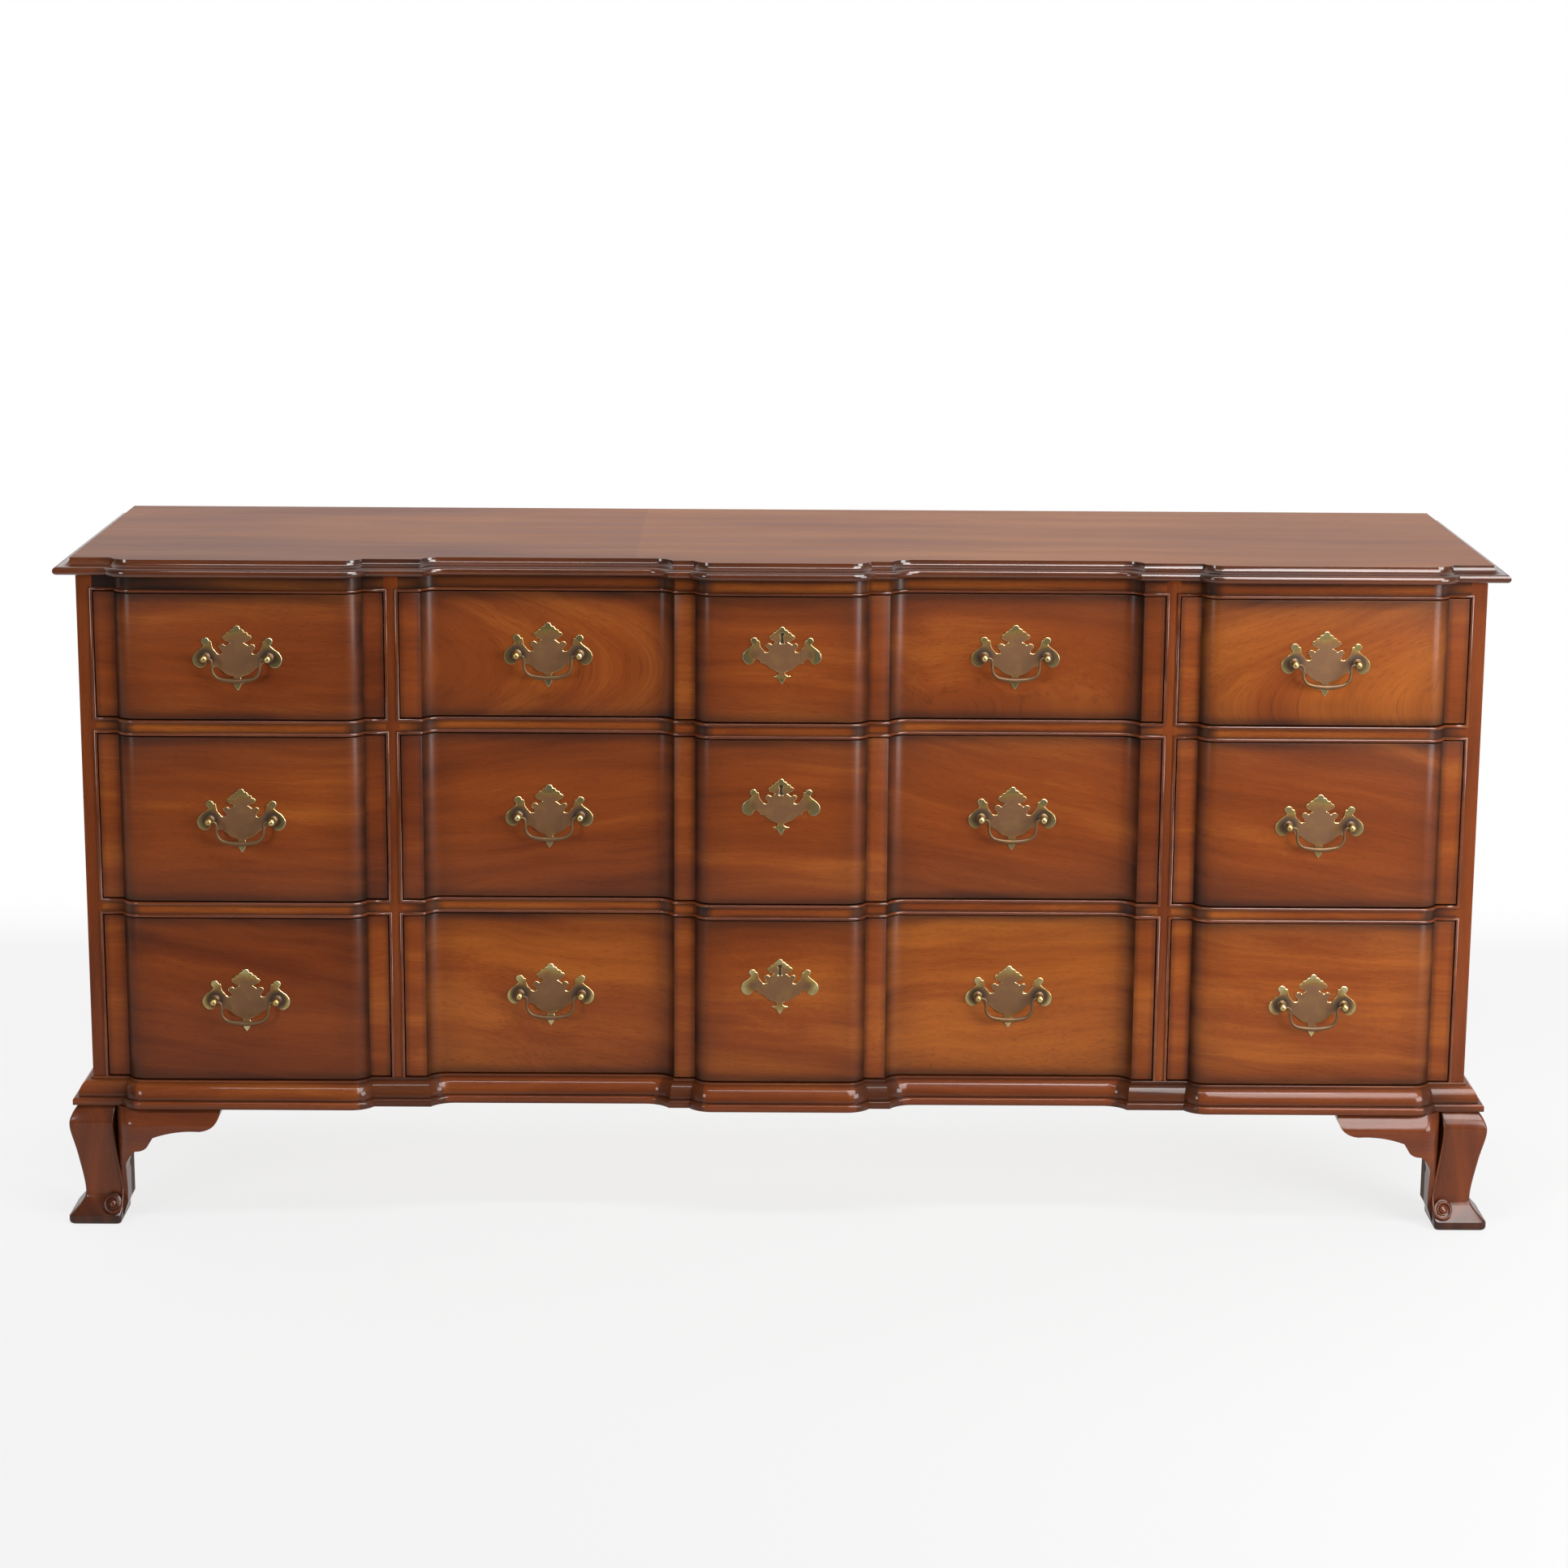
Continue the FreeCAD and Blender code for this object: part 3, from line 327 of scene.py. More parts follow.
def bare_wood(name, colours):
    """Secondary wood, planed and unfinished: dull and straight, the grain along each board."""
    material, tree = blank(name)
    x, y, z = put(tree, "SeparateXYZ", along(tree, "x")).outputs
    facing = put(tree, "SeparateXYZ", put(tree, "NewGeometry").outputs["True Normal"])
    # boards that face sideways run from front to back, the others from side to side
    sideways = put(tree, "Math GREATER_THAN", put(tree, "Math ABSOLUTE", facing), 0.5)
    length = put(tree, "Mix", {"Factor": sideways, "A": x, "B": y})
    width = put(tree, "Mix", {"Factor": sideways, "A": y, "B": x})
    grain = put(tree, "CombineXYZ", length, width, z)
    mixed = 0.0
    # length and width of the marks in millimetres and their share; the fine fibre is drawn three times too wide
    for long, wide, share in ((600, 45, 0.55), (160, 9, 0.25), (60, 1.5, 0.2)):
        marks = grain_marks(tree, grain, long, wide, 3.0)
        mixed = put(tree, "Math MULTIPLY_ADD", marks, share, mixed)
    colour = put(tree, "ValToRGB", mixed, stops=list(zip((0.36, 0.5, 0.64), colours)))
    bump = put(tree, "Bump", {"Strength": 0.1, "Distance": 0.0004, "Height": marks})
    shader = put(tree, "BsdfPrincipled", {"Base Color": colour, "Roughness": 0.7, "Specular IOR Level": 0.3,
                                          "Normal": bump})
    put(tree, "OutputMaterial", shader)
    return material


POPLAR = bare_wood("planed_poplar", ("#A08158", "#B4966B", "#C6AC82"))
BACK_PLY = bare_wood("mahogany_faced_ply", ("#6E4C33", "#84603F", "#98734E"))
STAINED_BLOCKS = bare_wood("stained_poplar", ("#2C1A10", "#3B2416", "#4A2E1C"))


def antiqued_brass():
    """Sheet and cast brass dulled with age: brown-grey on the flats, dark round the posts, worn yellow on rims."""
    material, tree = blank("antiqued_brass")
    spot = put(tree, "Attribute", attribute_name="spot").outputs["Vector"]
    worn = put(tree, "Attribute", attribute_name="worn").outputs["Fac"]
    cloud = put(tree, "TexNoise", {"Vector": along(tree, "x"), "Scale": 1 / 0.018, "Detail": 3.0})
    x, y, z = put(tree, "SeparateXYZ", spot).outputs
    # wear grows from the middle of the plate to its tips
    away = put(tree, "VectorMath LENGTH", put(tree, "VectorMath MULTIPLY", spot, (0.72, 0.0, 1.0)))
    tips = put(tree, "MapRange SMOOTHSTEP", away, 20.0 * MM, 40.0 * MM, 0.0, 0.75)
    # old polish gathers in a dark ring round each post, less so on the escutcheons, stored as if further off
    side = put(tree, "Math SUBTRACT", put(tree, "Math ABSOLUTE", x), POST_OUT)
    ring = put(tree, "VectorMath LENGTH", put(tree, "CombineXYZ", side, y, z))
    grime_and_shade = put(tree, "MapRange SMOOTHSTEP", ring, 7.0 * MM, 16.0 * MM, 0.9, 0.0)
    clean = put(tree, "Math SUBTRACT", 1.0, grime_and_shade)
    wear = put(tree, "Math MAXIMUM", put(tree, "Math MULTIPLY", tips, clean), worn)
    patchy = put(tree, "MapRange", cloud, 0.3, 0.7, -0.16, 0.16)
    wear = put(tree, "Math ADD", wear, patchy, use_clamp=True)
    polish = put(tree, "ValToRGB", wear, stops=(
        (0.0, "#674526"), (0.3, "#7D5A30"), (0.6, "#A89058"), (1.0, "#E4DAAA")))
    # the dark brass colour: grime round the posts, and painted shade where keyholes, screw slots and bails are
    # stored near a post
    dirt_and_shade = put(tree, "Math MULTIPLY", put(tree, "Math SUBTRACT", 1.0, worn), grime_and_shade)
    colour = put(tree, "Mix RGBA", {"Factor": dirt_and_shade, "A": polish, "B": paint("#2A2019")})
    metal = put(tree, "MapRange", wear, 0.1, 0.6, 0.3, 1.0)
    rough = put(tree, "MapRange", wear, 0.0, 1.0, 0.5, 0.22)
    put(tree, "OutputMaterial", put(tree, "BsdfPrincipled", {
        "Base Color": colour, "Metallic": metal, "Roughness": rough}))
    return material


BRASS = antiqued_brass()


# Making meshes

def shown(name, data):
    """A new object of the scene."""
    made = bpy.data.objects.new(name, data)
    bpy.context.scene.collection.objects.link(made)
    return made


def as_mesh(holder):
    """The holder's final shape as a plain mesh; the holder goes."""
    mesh = bpy.data.meshes.new_from_object(holder.evaluated_get(bpy.context.evaluated_depsgraph_get()))
    bpy.data.objects.remove(holder)
    return mesh


def listed_mesh(name, points, edges=(), faces=()):
    mesh = bpy.data.meshes.new(name)
    mesh.from_pydata(points, edges, faces)
    return mesh


def piece_of(bm, name, materials=(), crease=None):
    """Makes a piece of a bmesh with its faces turned outwards; edges above the crease, in degrees, stay crisp."""
    bmesh.ops.recalc_face_normals(bm, faces=bm.faces)
    for edge in bm.edges if crease else ():
        if len(edge.link_faces) == 2 and edge.calc_face_angle(0.0) > radians(crease):
            edge.smooth = False
    mesh = bpy.data.meshes.new(name)
    bm.to_mesh(mesh)
    bm.free()
    for material in materials:
        mesh.materials.append(material)
    return shown(name, mesh)


def skin(bm, rows, closed=False, smooth=True):
    """Faces between rows of vertices."""
    count = len(rows[0])
    faces = []
    for upper, under in zip(rows, rows[1:]):
        for k in range(count if closed else count - 1):
            nxt = (k + 1) % count
            corners = list(dict.fromkeys((upper[k], upper[nxt], under[nxt], under[k])))
            if len(corners) > 2:
                faces.append(bm.faces.new(corners))
                faces[-1].smooth = smooth
    return faces


def added(bm, known):
    """The vertices added since so many were known."""
    bm.verts.ensure_lookup_table()
    return bm.verts[known:]


def swell(steps, start=0.0, end=90.0):
    """Angles of the points of an arc, given in degrees."""
    return [radians(start + (end - start) * step / steps) for step in range(steps + 1)]


def grown(name, mesh, tree, **sizes):
    """Runs a node tree over a mesh and keeps the result as a plain mesh."""
    seed = shown(name + "_seed", mesh)
    modifier = seed.modifiers.new("grow", "NODES")
    modifier.node_group = tree
    sockets = {item.name: item.identifier for item in tree.interface.items_tree if item.in_out == "INPUT"}
    for socket, value in sizes.items():
        modifier[sockets[socket]] = value
    result = as_mesh(seed)
    result.name = name
    return shown(name, result)


def grow_tree(name, shape, **inputs):
    """A node tree with named inputs: shape(tree, given) builds it, its instances are made real and dressed."""
    tree = bpy.data.node_groups.new(name, "GeometryNodeTree")
    add_sockets(tree, "INPUT", Geometry="Geometry", **inputs, Material="Material")
    add_sockets(tree, "OUTPUT", Geometry="Geometry")
    given = put(tree, "NodeGroupInput").outputs
    real = put(tree, "RealizeInstances", shape(tree, given))
    put(tree, "NodeGroupOutput", put(tree, "SetMaterial", {"Geometry": real, "Material": given["Material"]}))
    return tree


def rod_along_line(tree, given):
    """A round rod along a line, as thick as the line's own attribute says."""
    line = put(tree, "MeshToCurve", given["Geometry"])
    thick = put(tree, "InputNamedAttribute", "thickness", data_type="FLOAT").outputs[0]
    ring = put(tree, "CurvePrimitiveCircle", {"Resolution": given["Sides"], "Radius": 1.0})
    sized = put(tree, "SetCurveRadius", {"Curve": line, "Radius": thick})
    rod = put(tree, "CurveToMesh", {"Curve": sized, "Profile Curve": ring, "Fill Caps": True})
    if "Scale" in rod.inputs:
        tree.links.new(thick, rod.inputs["Scale"])
    return put(tree, "SetShadeSmooth", rod)


def piece_on_points(tree, given):
    """One piece set on every point of a mesh."""
    piece = put(tree, "ObjectInfo", given["Piece"]).outputs["Geometry"]
    return put(tree, "InstanceOnPoints", {"Points": given["Geometry"], "Instance": piece})


ROD = grow_tree("rod_along_line", rod_along_line, Sides="Int")
REPEAT = grow_tree("piece_on_points", piece_on_points, Piece="Object")


def line_mesh(name, points, thickness):
    """A line of points that carries a thickness at each point."""
    mesh = listed_mesh(name, points, [(i, i + 1) for i in range(len(points) - 1)])
    mesh.attributes.new("thickness", "FLOAT", "POINT").data.foreach_set("value", thickness)
    return mesh


def repeated(name, part, places, material):
    """Sets a part on every place; the part itself goes."""
    piece = grown(name, listed_mesh(part.name + "_places", places), REPEAT, Piece=part, Material=material)
    bpy.data.objects.remove(part)
    return piece


def belongs(piece, body, slot, *replaced):
    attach(piece, body)
    if replaced:
        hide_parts(*replaced)


# Plan of the front

def corner_arc(flat_x, flat_y, steep_x, steep_y):
    """Points of a block corner from its level end to its sharp end."""
    run, rise = abs(steep_x - flat_x), abs(steep_y - flat_y)
    radius = (run * run + rise * rise) / (2 * rise)
    turn = atan2(run, radius - rise)
    return [(flat_x + copysign(radius * sin(angle), steep_x - flat_x),
             flat_y + copysign(radius * (1 - cos(angle)), steep_y - flat_y))
            for angle in (turn * step / ARC_STEPS for step in range(ARC_STEPS + 1))]


def raised_panel(low, high, depth):
    """Plan of a block (depth below zero) or a recess between two strips."""
    y = STRIP_Y + depth
    left = corner_arc(low + CORNER_RUN, y, low, STRIP_Y)[::-1]
    return left + corner_arc(high - CORNER_RUN, y, high, STRIP_Y)


def bay_panels(bay, low, high):
    """The front's panels from left to right, each a list of (x, y)."""
    breaks = {"left": [(-END_OUTER, -END_INNER, -BLOCK_DEPTH)], "right": [(END_INNER, END_OUTER, -BLOCK_DEPTH)],
              "centre": [(-RECESS_OUTER, -RECESS_INNER, BLOCK_DEPTH), (-HALF_CENTRE, HALF_CENTRE, -BLOCK_DEPTH),
                         (RECESS_INNER, RECESS_OUTER, BLOCK_DEPTH)]}
    panels = []
    strip = [(low, STRIP_Y)]
    for start, end, depth in breaks[bay]:
        panel = raised_panel(start, end, depth)
        if depth > 0:
            # the strips' sharp edges beside a recess are rubbed round
            panel[0] = (start + ARRIS / 3, STRIP_Y + ARRIS)
            panel[-1] = (end - ARRIS / 3, STRIP_Y + ARRIS)
            panels += [strip + [(start - ARRIS, STRIP_Y), panel[0]], panel]
            strip = [panel[-1], (end + ARRIS, STRIP_Y)]
        else:
            panels += [strip + [(start, STRIP_Y)], panel]
            strip = [(end, STRIP_Y)]
    return panels + [strip + [(high, STRIP_Y)]]


# Drawer fronts

# Of each wide panel from left to right: tone, tilt, arch and bend of its figure
LEAVES = {
    ("left", "upper"): ((0.0, 0.10, 0.0, 0.0),),
    ("left", "middle"): ((-0.025, 0.03, 0.0, 0.0),),
    ("left", "lower"): ((-0.09, 0.14, 0.0, 0.0),),
    ("centre", "upper"): ((0.0, 0.0, 0.8, 0.4), (-0.02, 0.02, 0.0, 0.0), (0.0, -0.06, 0.5, 0.2)),
    ("centre", "middle"): ((-0.05, -0.10, 0.0, 0.0), (-0.01, 0.0, 0.0, 0.0), (-0.03, 0.22, 0.0, 0.0)),
    ("centre", "lower"): ((0.02, 0.05, 0.3, 0.1), (0.0, 0.02, 0.0, 0.0), (0.07, -0.04, 0.2, 0.06)),
    ("right", "upper"): ((0.07, -0.2, 0.55, -0.3),),
    ("right", "middle"): ((-0.03, 0.18, 0.0, 0.0),),
    ("right", "lower"): ((0.04, 0.08, 0.0, 0.0),),
}
# Tones of the strips from left to right, on the fronts where they differ
STRIPS = {
    ("left", "upper"): (-0.07, -0.12),
    ("left", "middle"): (0.0, -0.13),
    ("centre", "upper"): (-0.06, 0.04, -0.05, -0.05),
    ("centre", "middle"): (-0.1, 0.0, 0.0, -0.12),
}
LIKE_TONE = (0.0,) * 4
STRAIGHT = (0.0, 0.0, 0.0)
# Stored on the ends of a front as a panel too wide for shading from its edges: width, height, tone
END_GRAIN = (10.0, 10.0, -0.1)
EASE = 1.2 * MM


def drawer_front(bay, row):
    """A blocked front with eased edges, veneered panel by panel."""
    node = f"drawer_front_{bay}_{row}"
    low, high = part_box(node)
    bm = bmesh.new()
    uv = bm.loops.layers.uv.new("veneer")
    layers = {name: bm.loops.layers.float_vector.new(name) for name in ("panel", "leaf", "cut")}
    bottom, top, back = low.z, high.z, high.y

    def column(x, y):
        eased = [(y + EASE * (1 - cos(a)), EASE - EASE * sin(a)) for a in swell(3)]
        loop = [(py, bottom + inset) for py, inset in eased[::-1]] + [(py, top - inset) for py, inset in eased]
        return [bm.verts.new((x, py, pz)) for py, pz in loop + [(back, top), (back, bottom)]]

    panels = bay_panels(bay, low.x, high.x)
    columns = [column(*panels[0][0])]
    for index, panel in enumerate(panels):
        # wide panels lie between the strips
        if index % 2:
            tone, *leaf = LEAVES[bay, row][index // 2]
        else:
            tone, leaf = STRIPS.get((bay, row), LIKE_TONE)[index // 2], STRAIGHT
        steps = [dist(a, b) for a, b in zip(panel, panel[1:])]
        # every panel is cut from another place of the figure
        cut = (3.1 * index, 0.37 * index + 0.11 * ROWS.index(row), 1.7 * BAYS.index(bay) + 0.53 * ROWS.index(row))
        stored = {"panel": (sum(steps), top - bottom, tone), "leaf": leaf, "cut": cut}
        run = 0.0
        for step, place in zip(steps, panel[1:]):
            columns.append(column(*place))
            for face in skin(bm, columns[-2:], closed=True):
                for loop in face.loops:
                    loop[uv].uv = (run + step * (loop.vert in columns[-1]), loop.vert.co.z - bottom)
                    for name, value in stored.items():
                        loop[layers[name]] = value
            run += step
    for end in (columns[0], columns[-1]):
        for loop in bm.faces.new(end).loops:
            loop[uv].uv = (loop.vert.co.y - back, loop.vert.co.z - bottom)
            loop[layers["panel"]] = END_GRAIN
    belongs(piece_of(bm, f"veneered_front_{bay}_{row}", [VENEER], 45), f"drawer_{bay}_{row}", "mahogany", node)


for bay, row in DRAWERS:
    drawer_front(bay, row)


# Cock beads

# Section of the bead: out from the opening's edge and forward from the rail
BEAD_SECTION = [(a * MM, b * MM) for a, b in (
    (0, -1), (0, 1.0), (0.3, 1.8), (1.0, 2.3), (2.0, 2.5), (3.0, 2.3), (3.7, 1.8), (4.0, 1.0), (4.0, -1))]
REVEAL = 1.5 * MM


def pushed(points, forward):
    """A plan line moved forward square to itself."""
    moved = []
    for i, (x, y) in enumerate(points):
        before, after = points[max(i - 1, 0)], points[min(i + 1, len(points) - 1)]
        run = Vector((after[0] - before[0], after[1] - before[1])).normalized()
        moved.append((x + run.y * forward, y - run.x * forward))
    return moved


def bead_ring(bay, row, out, forward):
    """One line of the bead round an opening."""
    low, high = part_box(f"drawer_front_{bay}_{row}")
    left, right = low.x - REVEAL - out, high.x + REVEAL + out
    plan = []
    for panel in bay_panels(bay, left, right):
        plan += panel[1:] if plan else panel
    plan = pushed(plan, forward)
    plan[0], plan[-1] = (left, STRIP_Y - forward), (right, STRIP_Y - forward)
    over = [(x, y, high.z + REVEAL + out) for x, y in plan]
    if row == "lower":
        return [(*plan[0], low.z - REVEAL)] + over + [(*plan[-1], low.z - REVEAL)]
    return over + [(x, y, low.z - REVEAL - out) for x, y in plan[::-1]]


def cock_beads():
    """Half-round beads, mitred at the corners, round every drawer opening; the lowest have none below."""
    bm = bmesh.new()
    for bay, row in DRAWERS:
        rings = [[bm.verts.new(p) for p in bead_ring(bay, row, out, forward)] for out, forward in BEAD_SECTION]
        skin(bm, rings, closed=row != "lower")
    belongs(piece_of(bm, "moulded_cock_beads", [BEADS]), "case", "mahogany", "cock_beads")


cock_beads()


# Moulded top and base

BREAK_DRIFT = 0.3
MOULDING_CREASE = 35


def moulding_line(out):
    """Plan of the blocked front pushed out by a projection, from left to right."""
    drift = BREAK_DRIFT * out
    strip, block, sunk = STRIP_Y - out, BLOCK_Y - out, RECESS_Y - out
    half = []
    # where each corner is sharp and where it is level, and whether it runs from its sharp end
    for sharp, level, y, order in (
            (HALF_CENTRE + drift, HALF_CENTRE - CORNER_RUN, block, 1),
            (RECESS_INNER + drift, RECESS_INNER + CORNER_RUN + 2 * drift, sunk, -1),
            (RECESS_OUTER - drift, RECESS_OUTER - CORNER_RUN - 2 * drift, sunk, 1),
            (END_INNER - drift, END_INNER + CORNER_RUN, block, -1),
            (END_OUTER + drift, END_OUTER - CORNER_RUN, block, 1)):
        half += corner_arc(level, y, sharp, strip)[::order]
    half.append((HALF_CASE + out, strip))
    return [(-x, y) for x, y in half[::-1]] + half


def moulded_top():
    """The top board with its edge as planed: arris, cove, fillet and bull nose."""
    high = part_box("top")[1]
    lip, drop = 5.6, 2.0
    cove_run, cove = 10.4, 8.0
    nose_out, nose = 19.5, 5.5
    section = [(lip - 0.4, 0.0), (lip - 0.1, 0.15), (lip, 0.5), (lip, drop)]
    section += [(lip + cove_run * (1 - cos(a)), drop + cove * sin(a)) for a in swell(8)[1:]]
    section += [(nose_out + nose * sin(a), drop + cove + nose * (1 - cos(a))) for a in swell(12, 0.0, 180.0)]
    bm = bmesh.new()
    loops = []
    for out, down in section:
        out *= MM
        plan = moulding_line(out) + [(HALF_CASE + out, high.y), (-HALF_CASE - out, high.y)]
        loops.append([bm.verts.new((x, y, high.z - down * MM)) for x, y in plan])
    skin(bm, loops, closed=True)
    bm.faces.new(loops[0]).material_index = 1
    bm.faces.new(loops[-1])
    belongs(piece_of(bm, "moulded_top", (TOP_EDGE, TOP_BOARD), MOULDING_CREASE), "case", "mahogany", "top")


def moulded_base():
    """Base moulding round front and sides: fillet, ovolo, quirk and eased band; a plain rail behind."""
    low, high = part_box("base_moulding")
    tall = (high.z - low.z) / MM
    fillet, ovolo, band, step_in, band_out, ease = 3.0, 14.0, 10.0, 2.0, 24.0, 3.5
    quirk = tall - band - step_in
    # projection, drop and how much glaze lies there
    section = [(fillet - 0.4, 0.0, 0.5), (fillet, 0.4, 0.2), (fillet, fillet, 0.8)]
    section += [(fillet + ovolo * sin(a), fillet + (quirk - fillet) * (1 - cos(a)), 0.5 * (1 - sin(2 * a)))
                for a in swell(10)]
    section += [(fillet + ovolo, quirk + step_in, 0.85), (band_out - ease, quirk + step_in, 0.4)]
    section += [(band_out - ease * (1 - sin(a)), quirk + step_in + ease * (1 - cos(a)), 0.1) for a in swell(5)[1:]]
    section += [(band_out, tall - 1.0, 0.45), (band_out - 0.4, tall - 0.2, 0.7), (band_out - 1.0, tall, 0.7)]
    bm = bmesh.new()
    uv = bm.loops.layers.uv.new("run")
    glaze = bm.verts.layers.float.new("glaze")
    stock = 45.0 * MM
    back = high.y
    loops = []
    for out, down, shade in section:
        out *= MM
        plan = [(-HALF_CASE - out, back)] + moulding_line(out) + [(HALF_CASE + out, back)]
        loop = [bm.verts.new((x, y, high.z - down * MM)) for x, y in plan]
        for k, vert in enumerate(loop):
            # glaze lies thick where the front bends
            bent = 1 < k < len(plan) - 2 and abs(plan[k][1] - STRIP_Y + out) < BLOCK_DEPTH - 2 * MM
            vert[glaze] = max(shade, 0.7 if bent else 0.12)
        loops.append(loop)
    inside = HALF_CASE - stock
    inner = [(-inside, back), (-inside, STRIP_Y + stock), (inside, STRIP_Y + stock), (inside, back)]
    walls = [[bm.verts.new((x, y, z)) for x, y in inner] for z in (high.z, low.z)]
    across = 0.0
    for upper, under in zip(loops, loops[1:]):
        step = (upper[0].co - under[0].co).length
        run = 0.0
        for face in skin(bm, (upper, under)):
            length = (face.verts[1].co - face.verts[0].co).length
            for loop, (u, v) in zip(face.loops, ((0, 0), (1, 0), (1, 1), (0, 1))):
                loop[uv].uv = (run + u * length, across + v * step)
            run += length
        across += step
    for loop, wall in ((loops[0], walls[0]), (loops[-1], walls[1])):
        bm.faces.new(loop + wall[::-1])
    skin(bm, walls, smooth=False)
    for end in (0, -1):
        bm.faces.new([loop[end] for loop in loops] + [walls[1][end], walls[0][end]])
    for vert in bmesh.ops.create_cube(bm, size=1.0)["verts"]:
        vert.co = (inside * 2 * vert.co.x, back - stock / 2 + stock * vert.co.y,
                   (high.z + low.z) / 2 + (high.z - low.z) * vert.co.z)
    belongs(piece_of(bm, "moulded_base", [BASE], MOULDING_CREASE), "case", "mahogany", "base_moulding")


moulded_top()
moulded_base()


# Front feet; their sizes are in millimetres

# The leg from its neck down: height, how far it stands out of the case, how far its inner edge wanders out
LEG = ((164, 17.5, 1), (152, 25.5, 3), (135, 29, 4), (96, 21, 1), (48, 13.5, -4.5), (30, 16.5, -5), (12, 33, -3))
PAD = ((8, 33.2, -3.2), (4.5, 33, -3), (2.2, 32, -2.2), (0.7, 30.2, -0.8), (0, 28, 1))
LEG_TOP = LEG[0][0]
LEG_INNER = HALF_CASE / MM - 33.5
LEG_BACK = 40.0
# The wing bracket's swell at the end block, height and depth
WING_FLAT = 13.5
WING_SWELL = ((164, 34), (153, 42.5), (137, 46.8), (96, 30), (48, WING_FLAT), (0, WING_FLAT))
WING_CORNER = 24.0
WING_ROOT = 6.0
POST_RUN, POST_TOP = 10.0, 66.0
# Middle of the toe's roll, from the leg's inner edge, the case's front and the floor; its face leans back
ROLL_IN, ROLL_OUT, ROLL_UP = 9.0, 25.3, 28.0
ROLL_LEAN = 0.45
# The ridge above the roll starts here and leaves the leg here
RIDGE_TOP, RIDGE_BEND = 150.0, 82.0


def smooth_line(stations, steps):
    """Points of a smooth curve through stations."""
    ends = [stations[0]] + list(stations) + [stations[-1]]
    points = []
    for knots in zip(ends, ends[1:], ends[2:], ends[3:]):
        for t in (step / steps for step in range(steps)):
            points.append(tuple(0.5 * (2 * b + (c - a) * t + (2 * a - 5 * b + 4 * c - d) * t * t
                                       + (3 * b - a - 3 * c + d) * t ** 3) for a, b, c, d in zip(*knots)))
    return points + [tuple(stations[-1])]


def at_height(line, z, value):
    """A value read from a line of stations that goes down."""
    for upper, lower in zip(line, line[1:]):
        if lower[0] <= z <= upper[0]:
            share = (z - lower[0]) / max(upper[0] - lower[0], 1e-9)
            return lower[value] + share * (upper[value] - lower[value])
    return line[-1][value]


LEG_LINE = smooth_line(LEG, 8) + list(PAD)
SWELL_LINE = smooth_line(WING_SWELL[:-1], 8) + [WING_SWELL[-1]]


def wing_under_edge():
    """Under edge of a wing bracket from the post out to its tip: run and height."""
    marks = ((POST_RUN, POST_TOP), (25, 102.5), (41, 109.5), (50, 124.5), (112.6, 134.5), (140.6, LEG_TOP))
    points = []
    for (run, z), (far, top), bow in zip(marks, marks[1:], (-0.15, 0.12, 0.0, -0.06, 0.2)):
        for t in (step / 8 for step in range(8)):
            lift = 4 * bow * t * (1 - t)
            points.append((run + (far - run) * t + lift * (top - z), z + (top - z) * t - lift * (far - run)))
    return points + [marks[-1]]


class Carving:
    """Gathers the faces of a foot with their grain and glaze."""

    def __init__(self):
        self.bm = bmesh.new()
        self.uv = self.bm.loops.layers.uv.new("run")
        self.glaze = self.bm.verts.layers.float.new("glaze")
        self.grain = self.bm.verts.layers.float_vector.new("place_on_grain")

    def vert(self, place, glaze, grain):
        """A vertex; its place and grain are in millimetres."""
        vert = self.bm.verts.new([part * MM for part in place])
        vert[self.glaze] = glaze
        vert[self.grain] = (grain[0] * MM, grain[1] * MM, 0.0)
        return vert

    def tube(self, rows):
        """Closed rows skinned and capped."""
        skin(self.bm, rows, closed=True)
        for end in (rows[0], rows[-1]):
            self.bm.faces.new(end)

    def stain(self, known, shade):
        """Grain and glaze of the vertices added since so many were known; shade(vert) is the glaze."""
        for vert in added(self.bm, known):
            vert[self.glaze] = shade(vert)
            vert[self.grain] = (vert.co.z, vert.co.x, 0.0)

    def finish(self, name, *replaced):
        for face in self.bm.faces:
            face.material_index = 0
            for loop in face.loops:
                loop[self.uv].uv = loop.vert[self.grain].xy
        bmesh.ops.remove_doubles(self.bm, verts=self.bm.verts, dist=1e-6)
        belongs(piece_of(self.bm, name, [CARVED], 40), "case", "mahogany", *replaced)


def leg(carving, sign):
    """The corner leg: the same S on its front and outer side, its inner edge a gentler S."""
    rows = []
    for z, reach, wander in LEG_LINE:
        inner, outer = LEG_INNER + wander, HALF_CASE / MM + reach
        front, back = STRIP_Y / MM - reach, STRIP_Y / MM + LEG_BACK
        # the pad's corners are rounder than the leg's
        rounder = 2.5 * max(0.0, min(1.0, (20 - z) / 10))
        near, far = 2 + rounder, 3 + rounder
        plan = [(inner, back, 0.4)]
        plan += [(inner + near * (1 - cos(a)), front + near * (1 - sin(a)), 0.6) for a in swell(3)]
        plan += [(inner + 8, front, 0.4), ((inner + outer) / 2, front, 0.22)]
        plan += [(outer - far * (1 - sin(a)), front + far * (1 - cos(a)), 0.2) for a in swell(4)]
        plan += [(outer, (front + back) / 2, 0.2), (outer, back, 0.4)]
        shade = max(0.8 * (z < 13), 0.4 * (z > 158), 0.7 * (1 - (z - 13) / 50))
        rows.append([carving.vert((sign * x, y, z), max(glaze, shade), (z, x - y)) for x, y, glaze in plan])
    carving.tube(rows)


